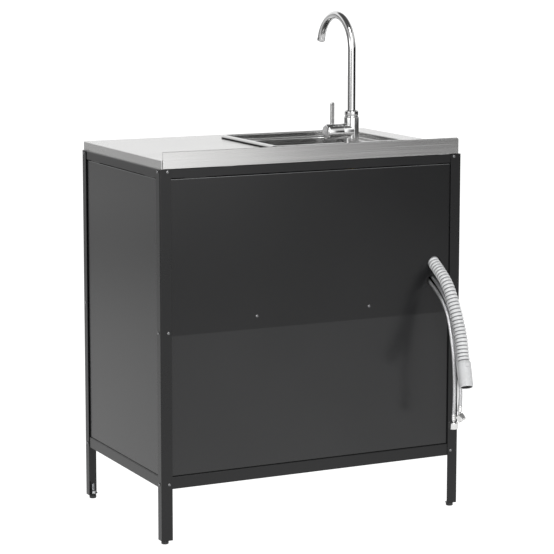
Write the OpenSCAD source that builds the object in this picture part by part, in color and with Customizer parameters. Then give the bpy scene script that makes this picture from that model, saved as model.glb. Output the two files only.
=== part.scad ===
/* [Cabinet] */
// Overall width over the corner posts
cab_w = 860; // [840:1:900]
// Overall depth over the corner posts
cab_d = 520; // [510:1:560]
// Height of the frame's top edge above the floor
cab_h = 950; // [940:1:970]
// Top of the bottom tray
tray_z = 174; // [165:1:185]
// Seam between the two back panels
seam_z = 532; // [525:1:540]
// Top of the middle shelf
shelf_z = 575; // [570:1:590]

/* [Sheet] */
// Thickness of posts, rails and tray
post_t = 2; // [1.8:0.1:2.2]
// Thickness of panels and doors
skin_t = 1; // [0.8:0.1:1.2]
// Width of a post's back and front flange
flange_w = 30; // [28:1:34]
// Width of a post's side flange
side_w = 24; // [23:1:28]

/* [Worktop] */
// Height of the working surface above the frame
fold_h = 23; // [22:1:26]
// Height of the upstand above the surface
upstand_h = 20; // [15:1:30]
// Thickness of the worktop sheet
top_t = 1.2; // [1:0.1:1.4]

/* [Sink] */
// Rim length along the cabinet
rim_l = 399; // [390:1:405]
// Rim width across the cabinet
rim_w = 340; // [335:1:344]
// Height of the rim above the surface
rim_h = 9; // [8:1:10]
// Depth of the lower bowl under its ledge
bowl_depth = 141; // [120:1:145]

/* [Tap] */
// Radius of the spout's arch at the middle of the tube
arch_r = 86; // [80:1:90]
// Height of the arch's centre above the floor
arch_z = 1227; // [1200:1:1240]
// Turn of the arch in degrees
arch_a = 164; // [150:1:170]
// Radius of the spout's tube
spout_r = 10; // [9.5:0.1:10.5]

/* [Hoses] */
// Outer radius of the corrugated drain hose
drain_r = 16; // [15:0.5:16]
// Outer radius of the braided supply hoses
braid_r = 5; // [4.5:0.1:5]

/* [Hidden] */
$fn = 48;

// The frame's middle stands this far back from the origin, so that the handles are in balance with the screw heads
oy = 15;
hw = cab_w / 2;
hd = cab_d / 2;
ix = hw - post_t;            // inner face of a post's side flange
iy = hd - post_t;            // inner face of a post's back flange
rx = ix - post_t;            // inner face of rails and tray flanges at the sides
ry = iy - post_t;            // the same at the back
ox = hw - flange_w;          // inner edge of the back flange
oyf = hd - side_w;           // inner edge of the side flange
rail_z = cab_h - 22.5;       // lower edge of the top rails
pan_top = cab_h - 25;        // upper edge of the panels
top_z = cab_h + fold_h;      // working surface
scr_x = hw - 21;             // post screws, back and front
scr_y = hd - 14;             // post screws, sides
scr_z = [cab_h - 6, 541, 155];
foot_x = hw - 14;
foot_y = hd - 14;

// Sink
sx = -133.5;
sy = -11;
rim_o = 15;                  // rim's width
wl_x = rim_l / 2 - rim_o;    // half opening
wl_y = rim_w / 2 - rim_o;
wl_r = 7;
rim_z = top_z + rim_h;
ledge_z = rim_z - 16;
lb_x = 148.5;                // half lower bowl
lb_y = 143;
lb_r = 82;
floor_z = ledge_z - bowl_depth;

// Tap
tx = -133;
ty = 204;
cart_z = top_z + 45;
body_z = top_z + 80.5;
lever_x = 56;

// Hinges
hinge_z = [262, 840];
hinge_x = ox - 0.75;
hinge_y = -hd - 4.8;

// Route of the drain hose, from the trap to the cuff
drain_route = [[-181, 29, 735], [-204, 48, 735], [-227, 68, 734], [-251, 88, 732], [-275, 108, 729],
    [-301, 130, 722], [-324, 154, 713], [-340, 179, 702], [-350, 207, 689], [-355, 237, 673],
    [-355, 260, 660], [-355, 288, 643], [-355, 315, 624], [-355, 336, 602], [-355, 354, 574],
    [-355, 372, 544], [-355, 387, 513], [-353, 403, 480], [-349, 417, 446], [-347, 425, 430]];
cuff_dir = [0.135, 0.438, -0.888];
cuff_l = 67;

// Routes of the braided hoses, from the tails of the tap to their ferrules
cold_route = [[-141, 204, 880], [-141, 204, 850], [-143, 204, 810], [-150, 203, 765], [-165, 201, 722],
    [-190, 199, 688], [-222, 198, 664], [-255, 198, 650], [-285, 200, 641], [-313, 208, 634],
    [-332, 222, 628], [-342, 240, 621], [-343, 260, 611], [-343, 288, 595], [-343, 315, 577],
    [-343, 333, 559], [-343, 347, 540], [-343, 359, 513], [-343, 368, 483], [-343, 376, 453],
    [-343, 381, 424], [-343, 384, 393], [-343, 386, 362], [-343, 386, 324], [-343, 384, 285]];
hot_route = [[-125, 204, 880], [-125, 205, 850], [-127, 207, 808], [-135, 209, 765], [-151, 211, 725],
    [-176, 212, 694], [-208, 211, 674], [-240, 208, 664], [-272, 206, 659], [-303, 208, 652],
    [-331, 218, 644], [-349, 238, 635], [-353, 260, 621], [-353, 286, 606], [-353, 310, 588],
    [-353, 328, 569], [-353, 343, 546], [-353, 356, 512], [-353, 366, 477], [-353, 376, 440],
    [-353, 387, 405], [-353, 396, 372], [-353, 400, 342], [-353, 399, 310]];
nut_b_at = [-352.4, 395.2, 284.6];
nut_b_dir = [-0.315, 0.546, -0.777];

function unit(v) = v / norm(v);
function along(p, i) = unit(p[min(i + 1, len(p) - 1)] - p[max(i - 1, 0)]);
function side_of(t) = unit(cross(t, [0.707, 0.707, 0]));
function arc(c, r, a0, a1, n) = [for (i = [0:n]) let (a = a0 + (a1 - a0) * i / n) [c[0] + r * cos(a), c[1] + r * sin(a)]];

// Plain box between two corners
module bx(x0, x1, y0, y1, z0, z1)
    translate([min(x0, x1), min(y0, y1), min(z0, z1)]) cube([abs(x1 - x0), abs(y1 - y0), abs(z1 - z0)]);

// Puts a piece drawn in the back right quarter of the plan (+X, +Y) in any quarter
module quarter(qx, qy) {
    if (qx > 0 && qy > 0) children();
    else if (qx < 0 && qy > 0) mirror([1, 0, 0]) children();
    else if (qx > 0) mirror([0, 1, 0]) children();
    else mirror([1, 0, 0]) mirror([0, 1, 0]) children();
}

// Points local +Z along a direction
module aim(at, dir) {
    d = unit(dir);
    translate(at) rotate([0, acos(d[2]), atan2(d[1], d[0])]) children();
}

module xcyl(x0, x1, y, z, r) translate([x0, y, z]) rotate([0, 90, 0]) cylinder(h = x1 - x0, r = r);
module ycyl(y0, y1, x, z, r) translate([x, y1, z]) rotate([90, 0, 0]) cylinder(h = y1 - y0, r = r);
module zcyl(z0, z1, x, y, r) translate([x, y, z0]) cylinder(h = z1 - z0, r = r);

// Rounded rectangle from half sizes
module rrect(ax, ay, r) {
    square([2 * ax, 2 * (ay - r)], center = true);
    square([2 * (ax - r), 2 * ay], center = true);
    for (i = [-1, 1], j = [-1, 1]) translate([i * (ax - r), j * (ay - r)]) circle(r = r);
}

// Profile of (outward, height) points carried round a rounded rectangle
module round_frame(ax, ay, r, pts) {
    cp = [for (p = pts) [p[0] + r, p[1]]];
    for (q = [[1, 1, 0], [-1, 1, 90], [-1, -1, 180], [1, -1, 270]])
        translate([q[0] * (ax - r), q[1] * (ay - r), 0]) rotate([0, 0, q[2]]) rotate_extrude(angle = 90) polygon(cp);
    for (k = [0, 1]) rotate([0, 0, 180 * k]) {
        translate([ax - r, ay - r, 0]) rotate([90, 0, 0]) linear_extrude(2 * (ay - r)) polygon(cp);
        rotate([0, 0, 90]) translate([ay - r, ax - r, 0]) rotate([90, 0, 0]) linear_extrude(2 * (ax - r)) polygon(cp);
    }
}

// Round tube along a route
module swept(p, r, n) {
    pts = [for (i = [0:len(p) - 1]) let (t = along(p, i), u = side_of(t), v = cross(t, u))
        for (k = [0:n - 1]) p[i] + r * (cos(360 * k / n) * u + sin(360 * k / n) * v)];
    m = len(p);
    faces = concat([[for (k = [0:n - 1]) k]], [[for (k = [0:n - 1]) (m - 1) * n + n - 1 - k]],
        [for (i = [0:m - 2], k = [0:n - 1]) [i * n + k, (i + 1) * n + k, (i + 1) * n + (k + 1) % n, i * n + (k + 1) % n]]);
    polyhedron(points = pts, faces = faces, convexity = 4);
}

// ---------- Frame ----------
module post(qx, qy) color("#2b2c2e") quarter(qx, qy) difference() {
    union() {
        bx(ix, hw, oyf, hd, 10, cab_h);
        bx(ox, hw, iy, hd, 10, cab_h);
        translate([0, 0, 10]) linear_extrude(2.5)
            polygon([[ix + 0.5, iy + 0.5], [ox + 1, iy + 0.5], [ox + 1, iy - 9], [ix - 9, oyf + 1], [ix + 0.5, oyf + 1]]);
    }
    for (z = scr_z) {
        if (qy > 0 || z != scr_z[1]) ycyl(iy - 1, hd + 1, scr_x, z, 2.2);
        xcyl(ix - 1, hw + 1, scr_y, z, 2.2);
    }
    zcyl(9, 13.5, foot_x, foot_y, 4.4);
}
module post_front_left() post(-1, -1);
module post_front_right() post(1, -1);
module post_back_left() post(-1, 1);
module post_back_right() post(1, 1);

// Levelling foot: glide and stud
module foot(qx, qy) quarter(qx, qy) translate([foot_x, foot_y, 0]) {
    color("#151515") rotate_extrude() polygon([[0, 0], [8.4, 0], [9.5, 1.2], [9.5, 7.5], [7.8, 10], [0, 10]]);
    color("#9a9a9a") zcyl(9.9, 40, 0, 0, 4);
}
module foot_front_left() foot(-1, -1);
module foot_front_right() foot(1, -1);
module foot_back_left() foot(-1, 1);
module foot_back_right() foot(1, 1);

module foot_nuts() color("#9a9a9a") for (i = [-1, 1], j = [-1, 1])
    difference() {
        translate([i * foot_x, j * foot_y, 12.5]) cylinder(h = 6.5, r = 7.5, $fn = 6);
        zcyl(12, 20, i * foot_x, j * foot_y, 4.05);
    }

module rail_x(qy, w) color("#2b2c2e") quarter(1, qy) difference() {
    union() {
        bx(-rx, rx, ry, iy, rail_z, cab_h - 2);
        bx(-ox, ox, iy - w, iy, cab_h - 2, cab_h);
    }
    for (i = [-1, 1]) ycyl(ry - 1, iy + 1, i * scr_x, scr_z[0], 2.2);
    for (x = [240, -380]) zcyl(cab_h - 3, cab_h + 1, x, hd - 17, 2.2);
}
module top_rail_front() rail_x(-1, 40);
module top_rail_back() rail_x(1, 28);

module rail_y(qx) color("#2b2c2e") quarter(qx, 1) difference() {
    union() {
        bx(rx, ix, -iy, iy, rail_z, cab_h);
        bx(ox, ix, -iy, iy, cab_h - 2, cab_h);
    }
    for (j = [-1, 1]) xcyl(rx - 1, ix + 1, j * scr_y, scr_z[0], 2.2);
}
module top_rail_left() rail_y(-1);
module top_rail_right() rail_y(1);

module bottom_tray() color("#2b2c2e") difference() {
    union() {
        bx(-ix, ix, -iy, iy, tray_z - 2, tray_z);
        for (j = [-1, 1]) bx(-rx, rx, j * ry, j * iy, tray_z - 32, tray_z - 1);
        for (i = [-1, 1]) bx(i * rx, i * ix, -iy, iy, tray_z - 29, tray_z - 1);
    }
    for (i = [-1, 1], j = [-1, 1]) {
        ycyl(j > 0 ? ry - 1 : -iy - 1, j > 0 ? iy + 1 : -ry + 1, i * scr_x, scr_z[2], 2.2);
        xcyl(i > 0 ? rx - 1 : -ix - 1, i > 0 ? ix + 1 : -rx + 1, j * scr_y, scr_z[2], 2.2);
    }
}

// Angle bars from post to post that carry the shelf
module shelf_rails() color("#2b2c2e") for (i = [-1, 1]) quarter(i, 1) difference() {
    union() {
        bx(rx - 2.5, rx - 1, -254, 254, 530, shelf_z - 23.5);
        bx(rx - 21, rx - 1, -230, 230, shelf_z - 25, shelf_z - 23.5);
    }
    for (j = [-1, 1]) xcyl(rx - 4, rx + 1, j * scr_y, scr_z[1], 2.2);
}

module mid_shelf() color("#2b2c2e") difference() {
    union() {
        bx(-411, 411, -236, 241, shelf_z - 1.5, shelf_z);
        bx(-396, 396, 240, 255, shelf_z - 1.5, shelf_z);
        for (i = [-1, 1]) bx(i * 409.5, i * 411, -236, 241, shelf_z - 23.5, shelf_z - 1);
        bx(-396, 396, 253.5, 255, shelf_z - 23.5, shelf_z - 1);
        bx(-411, 411, -236, -234.5, shelf_z - 23.5, shelf_z - 1);
    }
    for (x = [163, -160]) ycyl(250, 256, x, shelf_z - 10, 2.2);
}

module back_panel_upper() color("#2e2f31") difference() {
    union() {
        bx(-ox - 3, ox + 3, ry - skin_t, ry, seam_z, pan_top);
        bx(-ox - 3, ox + 3, ry - 13, ry, pan_top - skin_t, pan_top);
        for (i = [-1, 1]) {
            bx(i * (ox + 3), i * (ox + 3 - skin_t), ry - 13, ry, shelf_z + 5, pan_top);
            bx(i * (ox - 2), i * (ox + 18), ry - skin_t, ry, seam_z, seam_z + 20);
            bx(i * 300, i * 360, ry - 3, ry - 2, pan_top - 1, pan_top + 15);
        }
    }
    ycyl(ry - 4, ry + 4, -355, 662.5, 19.5);
    ycyl(ry - 4, ry + 4, -348.5, 618, 14);
    for (i = [-1, 1]) ycyl(ry - 2, ry + 1, i * scr_x, scr_z[1], 2.2);
    for (x = [163, -160]) ycyl(ry - 2, ry + 1, x, shelf_z - 10, 2.2);
}

module back_panel_lower() color("#333436") difference() {
    union() {
        bx(-ox - 3, ox + 3, ry - 2 * skin_t, ry - skin_t, tray_z, seam_z + 18);
        bx(-ox - 3, ox + 3, ry - 14, ry - skin_t, tray_z, tray_z + skin_t);
        for (i = [-1, 1]) {
            bx(i * (ox + 3), i * (ox + 3 - skin_t), ry - 14, ry - skin_t, tray_z, seam_z - 4);
            bx(i * (ox - 2), i * (ox + 18), ry - 2 * skin_t, ry - skin_t, seam_z, seam_z + 18);
        }
    }
    for (i = [-1, 1]) ycyl(ry - 4, ry + 1, i * scr_x, scr_z[1], 2.2);
}

module side_panel(qx) color("#2e2f31") quarter(qx, 1) difference() {
    union() {
        bx(rx - skin_t, rx, -oyf - 3, oyf + 3, tray_z, pan_top);
        for (z = [tray_z, pan_top - skin_t]) bx(rx - 13, rx, -oyf - 3, oyf + 3, z, z + skin_t);
        for (j = [-1, 1]) {
            bx(rx - 13, rx, j * (oyf + 3), j * (oyf + 3 - skin_t), tray_z, 524);
            bx(rx - 13, rx, j * (oyf + 3), j * (oyf + 3 - skin_t), 560, pan_top);
            bx(rx - skin_t, rx, j * (oyf - 2), j * (oyf + 18), 529, 553);
            bx(rx - 3, rx - 2, j * 150, j * 210, pan_top - 1, pan_top + 15);
        }
    }
    for (j = [-1, 1]) xcyl(rx - 2, rx + 1, j * scr_y, scr_z[1], 2.2);
}
module side_panel_left() side_panel(-1);
module side_panel_right() side_panel(1);

// Pan-head screw with a cross recess, head outwards along +Z from the surface
module screw(l) difference() {
    union() {
        rotate_extrude() polygon([[0, 0], [4, 0], [4, 1], [3.2, 2.1], [2, 2.5], [0, 2.5]]);
        zcyl(-l, 0, 0, 0, 2);
    }
    for (a = [0, 90]) rotate([0, 0, a]) translate([-2, -0.4, 1.4]) cube([4, 0.8, 2]);
}
module frame_screws() color("#3a3b3d") {
    for (i = [-1, 1], j = [-1, 1], z = scr_z) {
        if (j > 0 || z != scr_z[1]) translate([i * scr_x, j * hd, z]) rotate([j > 0 ? -90 : 90, 0, 0]) screw(12);
        translate([i * hw, j * scr_y, z]) rotate([0, i > 0 ? 90 : -90, 0]) screw(12);
    }
    for (x = [163, -160]) translate([x, ry, shelf_z - 10]) rotate([-90, 0, 0]) screw(10);
    for (x = [240, -380], j = [-1, 1]) translate([x, j * (hd - 17), cab_h - 2]) rotate([180, 0, 0]) screw(10);
}

// Hex nut between two heights along +Z
module hexnut(z0, z1) difference() {
    translate([0, 0, z0]) cylinder(h = z1 - z0, r = 4.04, $fn = 6);
    zcyl(z0 - 1, z1 + 1, 0, 0, 2.05);
}
module frame_nuts() color("#8f9092") {
    for (i = [-1, 1], j = [-1, 1], k = [0, 1, 2]) {
        if (j > 0 || k != 1) translate([i * scr_x, 0, scr_z[k]]) rotate([j > 0 ? 90 : -90, 0, 0])
            hexnut(k == 1 ? -ry + 2 * skin_t : -ry, (k == 1 ? -ry + 2 * skin_t : -ry) + 3.2);
        translate([0, j * scr_y, scr_z[k]]) rotate([0, i > 0 ? -90 : 90, 0])
            hexnut(k == 1 ? -rx + 2.5 : -rx, (k == 1 ? -rx + 2.5 : -rx) + 3.2);
    }
    for (x = [163, -160]) translate([x, 0, shelf_z - 10]) rotate([90, 0, 0]) hexnut(-253.5, -250.3);
}

module panel_spacers() color("#8f9092") for (i = [-1, 1], j = [-1, 1]) {
    difference() {
        xcyl(i > 0 ? rx : -ix, i > 0 ? ix : -rx, j * scr_y, scr_z[1], 5);
        xcyl(-hw, hw, j * scr_y, scr_z[1], 2.2);
    }
    if (j > 0) difference() {
        ycyl(ry, iy, i * scr_x, scr_z[1], 5);
        ycyl(-hd, hd, i * scr_x, scr_z[1], 2.2);
    }
}

// ---------- Doors ----------
door_y = -iy;
module door(qx) color("#2e2f31") quarter(qx, 1) difference() {
    bx(1.5, ox - 1.5, door_y, door_y + 18, tray_z + 3.5, rail_z - 3.5);
    bx(2.5, ox - 2.5, door_y + skin_t, door_y + 17, tray_z + 4.5, rail_z - 4.5);
    bx(14.5, ox - 14.5, door_y + 16, door_y + 19, tray_z + 16.5, rail_z - 20.5);
    for (z = [716, 844]) ycyl(door_y - 1, door_y + 3, 36, z, 2.2);
}
module door_left() door(-1);
module door_right() door(1);

module door_handle(qx) color("#b9babc") quarter(qx, 1) union() {
    zcyl(700, 860, 36, door_y - 29.5, 5);
    for (z = [716, 844]) {
        ycyl(door_y - 29.5, door_y, 36, z, 4);
        ycyl(door_y, door_y + 9, 36, z, 2);
        difference() {
            ycyl(door_y + 1, door_y + 3.5, 36, z, 4);
            for (a = [0, 90]) translate([36, door_y + 3.5, z]) rotate([0, a, 0]) cube([5, 2, 0.8], center = true);
        }
    }
}
module door_handle_left() door_handle(-1);
module door_handle_right() door_handle(1);

module frame_leaf(qx, z) quarter(qx, 1) difference() {
    union() {
        bx(ox + 1, ox + 24, -hd - 1.5, -hd, z - 30, z + 30);
        zcyl(z + 10.2, z + 30, hinge_x, hinge_y, 4.5);
        zcyl(z - 30, z - 10.2, hinge_x, hinge_y, 4.5);
    }
    zcyl(z - 31, z + 31, hinge_x, hinge_y, 2.55);
    bx(ox - 9, ox + 5.4, hinge_y - 5, -hd + 1, z - 10.2, z + 10.2);
}
module hinge_frame_leaves() color("#b9babc") for (i = [-1, 1], z = hinge_z) frame_leaf(i, z);

module door_leaf(qx, z) quarter(qx, 1) difference() {
    union() {
        bx(ox - 26, ox - 1.6, door_y - 1.5, door_y, z - 30, z + 30);
        bx(ox - 4.4, ox - 1.6, hinge_y + 2.8, door_y, z - 10, z + 10);
        zcyl(z - 10, z + 10, hinge_x, hinge_y, 4.5);
    }
    zcyl(z - 31, z + 31, hinge_x, hinge_y, 2.55);
}
module hinge_door_leaves_left() color("#b9babc") for (z = hinge_z) door_leaf(-1, z);
module hinge_door_leaves_right() color("#b9babc") for (z = hinge_z) door_leaf(1, z);

module hinge_pins() color("#c8c8ca") for (i = [-1, 1], z = hinge_z) translate([i * hinge_x, hinge_y, z]) {
    zcyl(-30, 30, 0, 0, 2.5);
    for (k = [30, -31.5]) zcyl(k, k + 1.5, 0, 0, 3.6);
}

module magnet_catches() for (i = [-1, 1]) quarter(i, 1) {
    color("#d8d8d6") difference() {
        bx(8, 44, -238.4, -219, 903, cab_h - 2);
        bx(12, 40, -239, -230, 907, 921);
    }
    color("#5a5b5d") bx(12, 40, -238.4, -230, 907, 921);
}
module strike(qx) color("#c8c8ca") quarter(qx, 1) bx(15.5, 43, door_y + 18, door_y + 19.4, 909, 920);
module strike_plate_left() strike(-1);
module strike_plate_right() strike(1);

// ---------- Worktop ----------
us_x0 = -hw + 8;
us_x1 = hw - 9;
module worktop() color("#b4b5b6") difference() {
    union() {
        bx(us_x0, us_x1, -hd - 4.5, hd - 1.4, top_z - top_t, top_z);
        bx(-hw + 6, hw - 6, -hd - 4.5, hd - 3, top_z - top_t, top_z);
        for (i = [-1, 1]) bx(i * (hw - 6), i * (hw - 6 - top_t), -hd - 4.5, hd - 3, cab_h, top_z);
        bx(-hw + 6, hw - 6, -hd - 4.5, -hd - 4.5 + top_t, cab_h, top_z);
        bx(us_x0, us_x1, hd - 1.4, hd - 0.2, cab_h + 1, top_z + upstand_h);
        bx(us_x0, us_x1, hd - 2.6, hd - 1.4, top_z - top_t, top_z + upstand_h);
    }
    translate([sx, sy, top_z - 5]) linear_extrude(10) rrect(wl_x + 9, wl_y + 9, 14);
    zcyl(top_z - 5, top_z + 5, tx, ty, 17.5);
    difference() {
        bx(us_x0 - 1, us_x0 + 5, hd - 4, hd + 1, top_z + upstand_h - 5, top_z + upstand_h + 1);
        ycyl(hd - 5, hd + 2, us_x0 + 5, top_z + upstand_h - 5, 5);
    }
}

// Square tubes under the worktop, from the back rail to the front rail
module worktop_braces() color("#8f9092") for (x = [240, -380]) difference() {
    bx(x - 15, x + 15, -256, 256, cab_h, top_z - top_t);
    bx(x - 13.5, x + 13.5, -257, 257, cab_h + 1.5, top_z - top_t - 1.5);
    for (j = [-1, 1]) zcyl(cab_h - 1, cab_h + 2, x, j * (hd - 17), 2.05);
}

module sink_bowl() color("#b9babb") translate([sx, sy, 0]) union() {
    round_frame(wl_x, wl_y, wl_r, concat(arc([9.5, top_z + 3.5], rim_h - 3.5, 90, 0, 8), arc([9.5, top_z + 3.5], rim_h - 4.5, 0, 90, 8),
        [[1, rim_z - 1], [1, ledge_z - 1], [0, ledge_z - 1], [0, rim_z]]));
    translate([0, 0, ledge_z - 1]) linear_extrude(1) difference() {
        rrect(wl_x + 0.5, wl_y + 0.5, wl_r);
        rrect(lb_x, lb_y, lb_r);
    }
    translate([0, 0, floor_z + 15]) linear_extrude(bowl_depth - 15.5) difference() {
        rrect(lb_x + 1, lb_y + 1, lb_r + 1);
        rrect(lb_x, lb_y, lb_r);
    }
    round_frame(lb_x, lb_y, lb_r, concat(arc([-15, floor_z + 15], 16, 0, -90, 8), arc([-15, floor_z + 15], 15, -90, 0, 8)));
    translate([0, 0, floor_z - 1]) linear_extrude(1) difference() {
        rrect(lb_x - 14.8, lb_y - 14.8, lb_r - 14.8);
        circle(r = 43);
    }
}

module sink_seal() color("#141414") translate([sx, sy, top_z]) linear_extrude(3.5) difference() {
    rrect(wl_x + rim_o - 0.5, wl_y + rim_o - 0.5, wl_r + rim_o - 0.5);
    rrect(wl_x + 9, wl_y + 9, 14);
}

module sink_clips() color("#8f9092") for (i = [-1, 1], y = [-95, 75]) translate([sx, y, 0]) quarter(i, 1) difference() {
    bx(wl_x + 1, wl_x + 24, -9, 9, ledge_z - 4, top_z - top_t);
    bx(wl_x + 3, wl_x + 22.5, -10, 10, ledge_z - 2.5, top_z - top_t - 1.5);
    bx(wl_x, wl_x + 2, -10, 10, ledge_z - 5, ledge_z);
}

// ---------- Waste ----------
module waste_cup() color("#bcbdbe") translate([sx, sy, 0]) rotate_extrude()
    polygon([[40, floor_z + 2], [54, floor_z + 1.6], [56, floor_z], [41.5, floor_z], [41.5, floor_z - 35], [23, floor_z - 35],
        [23, floor_z - 61], [19, floor_z - 61], [19, floor_z - 33], [40, floor_z - 33]]);

module waste_locknut() color("#e4e4e2") translate([sx, sy, 0]) difference() {
    union() {
        zcyl(floor_z - 10, floor_z - 1, 0, 0, 52);
        for (a = [0:45:315]) rotate([0, 0, a]) bx(50, 55, -5, 5, floor_z - 10, floor_z - 2);
    }
    zcyl(floor_z - 11, floor_z, 0, 0, 41.6);
}

module strainer_basket() color("#c4c5c6") translate([sx, sy, 0]) difference() {
    rotate_extrude() polygon([[0, floor_z - 32.9], [17, floor_z - 32.9], [17, floor_z - 28], [35, floor_z - 28],
        [37, floor_z - 26], [37, floor_z], [39, floor_z], [39, floor_z + 1], [36, floor_z + 1], [36, floor_z - 25.5],
        [34.5, floor_z - 27], [4, floor_z - 27], [4, floor_z + 10], [9, floor_z + 12], [9, floor_z + 17], [7, floor_z + 19], [0, floor_z + 19]]);
    for (a = [0:30:330]) rotate([0, 0, a]) zcyl(floor_z - 29, floor_z - 25, 29, 0, 2.2);
    for (a = [15:45:330]) rotate([0, 0, a]) zcyl(floor_z - 29, floor_z - 25, 21.5, 0, 2.2);
}

trap_a = 140;
module trap_body() color("#e4e4e2") translate([sx, sy, 0]) difference() {
    union() {
        zcyl(floor_z - 70, floor_z - 48, 0, 0, 31);
        for (a = [0:60:300]) rotate([0, 0, a]) bx(29, 34, -3, 3, floor_z - 68, floor_z - 50);
        zcyl(floor_z - 84, floor_z - 69, 0, 0, 19);
        zcyl(floor_z - 130, floor_z - 74, 0, 0, 33);
        zcyl(floor_z - 140, floor_z - 125, 0, 0, 36);
        rotate([0, 0, trap_a]) xcyl(26, 62, 0, floor_z - 90, 16);
    }
    zcyl(floor_z - 64, floor_z - 47, 0, 0, 23.1);
    zcyl(floor_z - 90, floor_z - 60, 0, 0, 16);
    zcyl(floor_z - 136, floor_z - 78, 0, 0, 30);
    rotate([0, 0, trap_a]) xcyl(20, 63, 0, floor_z - 90, 13);
}

module drain_hose_nut() color("#e4e4e2") translate([sx, sy, 0]) rotate([0, 0, trap_a]) difference() {
    translate([42, 0, floor_z - 90]) rotate([0, 90, 0]) cylinder(h = 20, r = 23.5, $fn = 10);
    xcyl(41, 63, 0, floor_z - 90, 16.1);
}

module drain_hose() color("#c6c7c9") swept(drain_route, drain_r, 12);

module drain_hose_cuff() color("#b5b7ba") aim(drain_route[len(drain_route) - 1], cuff_dir) difference() {
    union() {
        zcyl(0.6, cuff_l, 0, 0, 17.5);
        rotate([0, 0, 168]) bx(16.5, 20.5, -4, 4, 6, 17);
    }
    zcyl(-1, cuff_l + 1, 0, 0, 14.5);
}

// ---------- Tap ----------
module tap_base_ring() color("#c9cacb") translate([tx, ty, top_z]) rotate_extrude() polygon([[15.1, 0], [22, 0], [22, 1.6], [20.6, 3], [15.1, 3]]);

module tap_body() color("#c9cacb") translate([tx, ty, 0]) difference() {
    union() {
        zcyl(top_z + 3, body_z, 0, 0, 19);
        xcyl(6, 30, 0, cart_z, 20);
    }
    zcyl(top_z + 2, top_z + 17, 0, 0, 15.05);
    zcyl(body_z - 12.5, body_z + 1, 0, 0, spout_r + 1.05);
    zcyl(cart_z, body_z - 10, 0, 0, 5);
    for (j = [-1, 1]) zcyl(top_z + 16, cart_z - 10, 4, j * 6, 3);
    xcyl(-4, 31, 0, cart_z, 15.1);
}

module tap_cartridge() color("#e8e6df") translate([tx, ty, cart_z]) difference() {
    xcyl(-3.9, 29, 0, 0, 15);
    xcyl(17, 30, 0, 0, 7.05);
    zcyl(-16, -8, 4, 6, 3);
    zcyl(-16, -8, 4, -6, 3);
    zcyl(8, 16, 0, 0, 5);
}

// Stem turned by the cap, with the cross pin on which the lever tilts
module tap_stem() color("#b9babc") translate([tx, ty, cart_z]) {
    difference() {
        xcyl(17.2, 71, 0, 0, 7);
        bx(48, 66, -3.15, 3.15, -8, 8);
        ycyl(-9, 9, lever_x, 0, 2.02);
    }
    ycyl(-9, 9, lever_x, 0, 2);
}

module tap_cap() color("#c9cacb") translate([tx, ty, cart_z]) difference() {
    rotate([90, 0, 90]) rotate_extrude() polygon(concat([[0, 30.3], [20, 30.3], [20, 66]], arc([14, 70], 6, 0, 90, 6), [[0, 76]]));
    xcyl(30, 71, 0, 0, 17.5);
    bx(lever_x - 5.8, lever_x + 12.8, -3.3, 3.3, 0, 30);
}

module tap_lever() color("#c9cacb") translate([tx, ty, cart_z]) difference() {
    rotate([90, 0, 0]) translate([lever_x, 0, -3]) linear_extrude(6)
        polygon(concat([[-5, -6], [5, -6], [5, 69]], arc([1, 70.5], 4, 0, 70, 5), arc([-2.5, 74], 2.5, 70, 180, 5)));
    ycyl(-4, 4, lever_x, 0, 2.05);
}

module tap_spout() color("#c9cacb") translate([tx, ty, 0]) union() {
    rotate_extrude() polygon([[spout_r - 1.5, body_z - 12.3], [spout_r + 1, body_z - 12.3], [spout_r + 1, body_z + 0.2], [17.5, body_z + 0.2],
        [17.5, body_z + 2.8], [16.4, body_z + 3.3], [16.4, body_z + 4.6], [17.5, body_z + 5.1], [17.5, body_z + 15],
        [14.5, body_z + 18.5], [spout_r, body_z + 18.5], [spout_r, arch_z], [spout_r - 1.5, arch_z]]);
    translate([0, -arch_r, arch_z]) rotate([90, 0, 90]) rotate_extrude(angle = arch_a) translate([arch_r, 0]) difference() {
        circle(r = spout_r);
        circle(r = spout_r - 1.5);
    }
}

module tap_aerator() color("#c9cacb") translate([tx, ty, 0]) translate([0, -arch_r, arch_z]) rotate([90, 0, 90]) rotate([0, 0, arch_a])
    translate([arch_r, 0, 0]) rotate([-90, 0, 0]) difference() {
        union() {
            rotate_extrude() polygon([[0, 0], [spout_r + 0.6, 0], [spout_r + 0.6, 8.6], [spout_r - 0.2, 10], [0, 10]]);
            zcyl(-3, 1, 0, 0, spout_r - 1.7);
        }
        zcyl(6.5, 11, 0, 0, 8);
        zcyl(-9, 5, 0, 0, 6);
        for (a = [0:45:315]) rotate([0, 0, a]) zcyl(4, 8, 5, 0, 0.9);
        zcyl(4, 8, 0, 0, 0.9);
    }

module tap_shank() color("#c2a25a") translate([tx, ty, 0]) union() {
    difference() {
        zcyl(top_z - 48, top_z + 16.8, 0, 0, 15);
        zcyl(top_z - 49, top_z + 18, 0, 0, 13);
    }
    difference() {
        zcyl(top_z - 48, top_z - 44, 0, 0, 13.2);
        for (i = [-1, 1]) zcyl(top_z - 49, top_z - 43, 8 * i, 0, 2.5);
    }
    for (i = [-1, 1]) difference() {
        zcyl(top_z - 73, top_z - 46, 8 * i, 0, 4);
        zcyl(top_z - 74, top_z - 43, 8 * i, 0, 2.5);
    }
}

module tap_mount_nut() color("#c2a25a") translate([tx, ty, 0]) difference() {
    union() {
        zcyl(top_z - top_t - 3, top_z - top_t, 0, 0, 25);
        translate([0, 0, top_z - top_t - 14]) cylinder(h = 11.5, r = 21, $fn = 6);
    }
    zcyl(top_z - 20, top_z, 0, 0, 15.05);
}

// ---------- Supply hoses ----------
module supply_hose_cold() color("#9fa1a3") swept(cold_route, braid_r, 8);
module supply_hose_hot() color("#9fa1a3") swept(hot_route, braid_r, 8);

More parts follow.
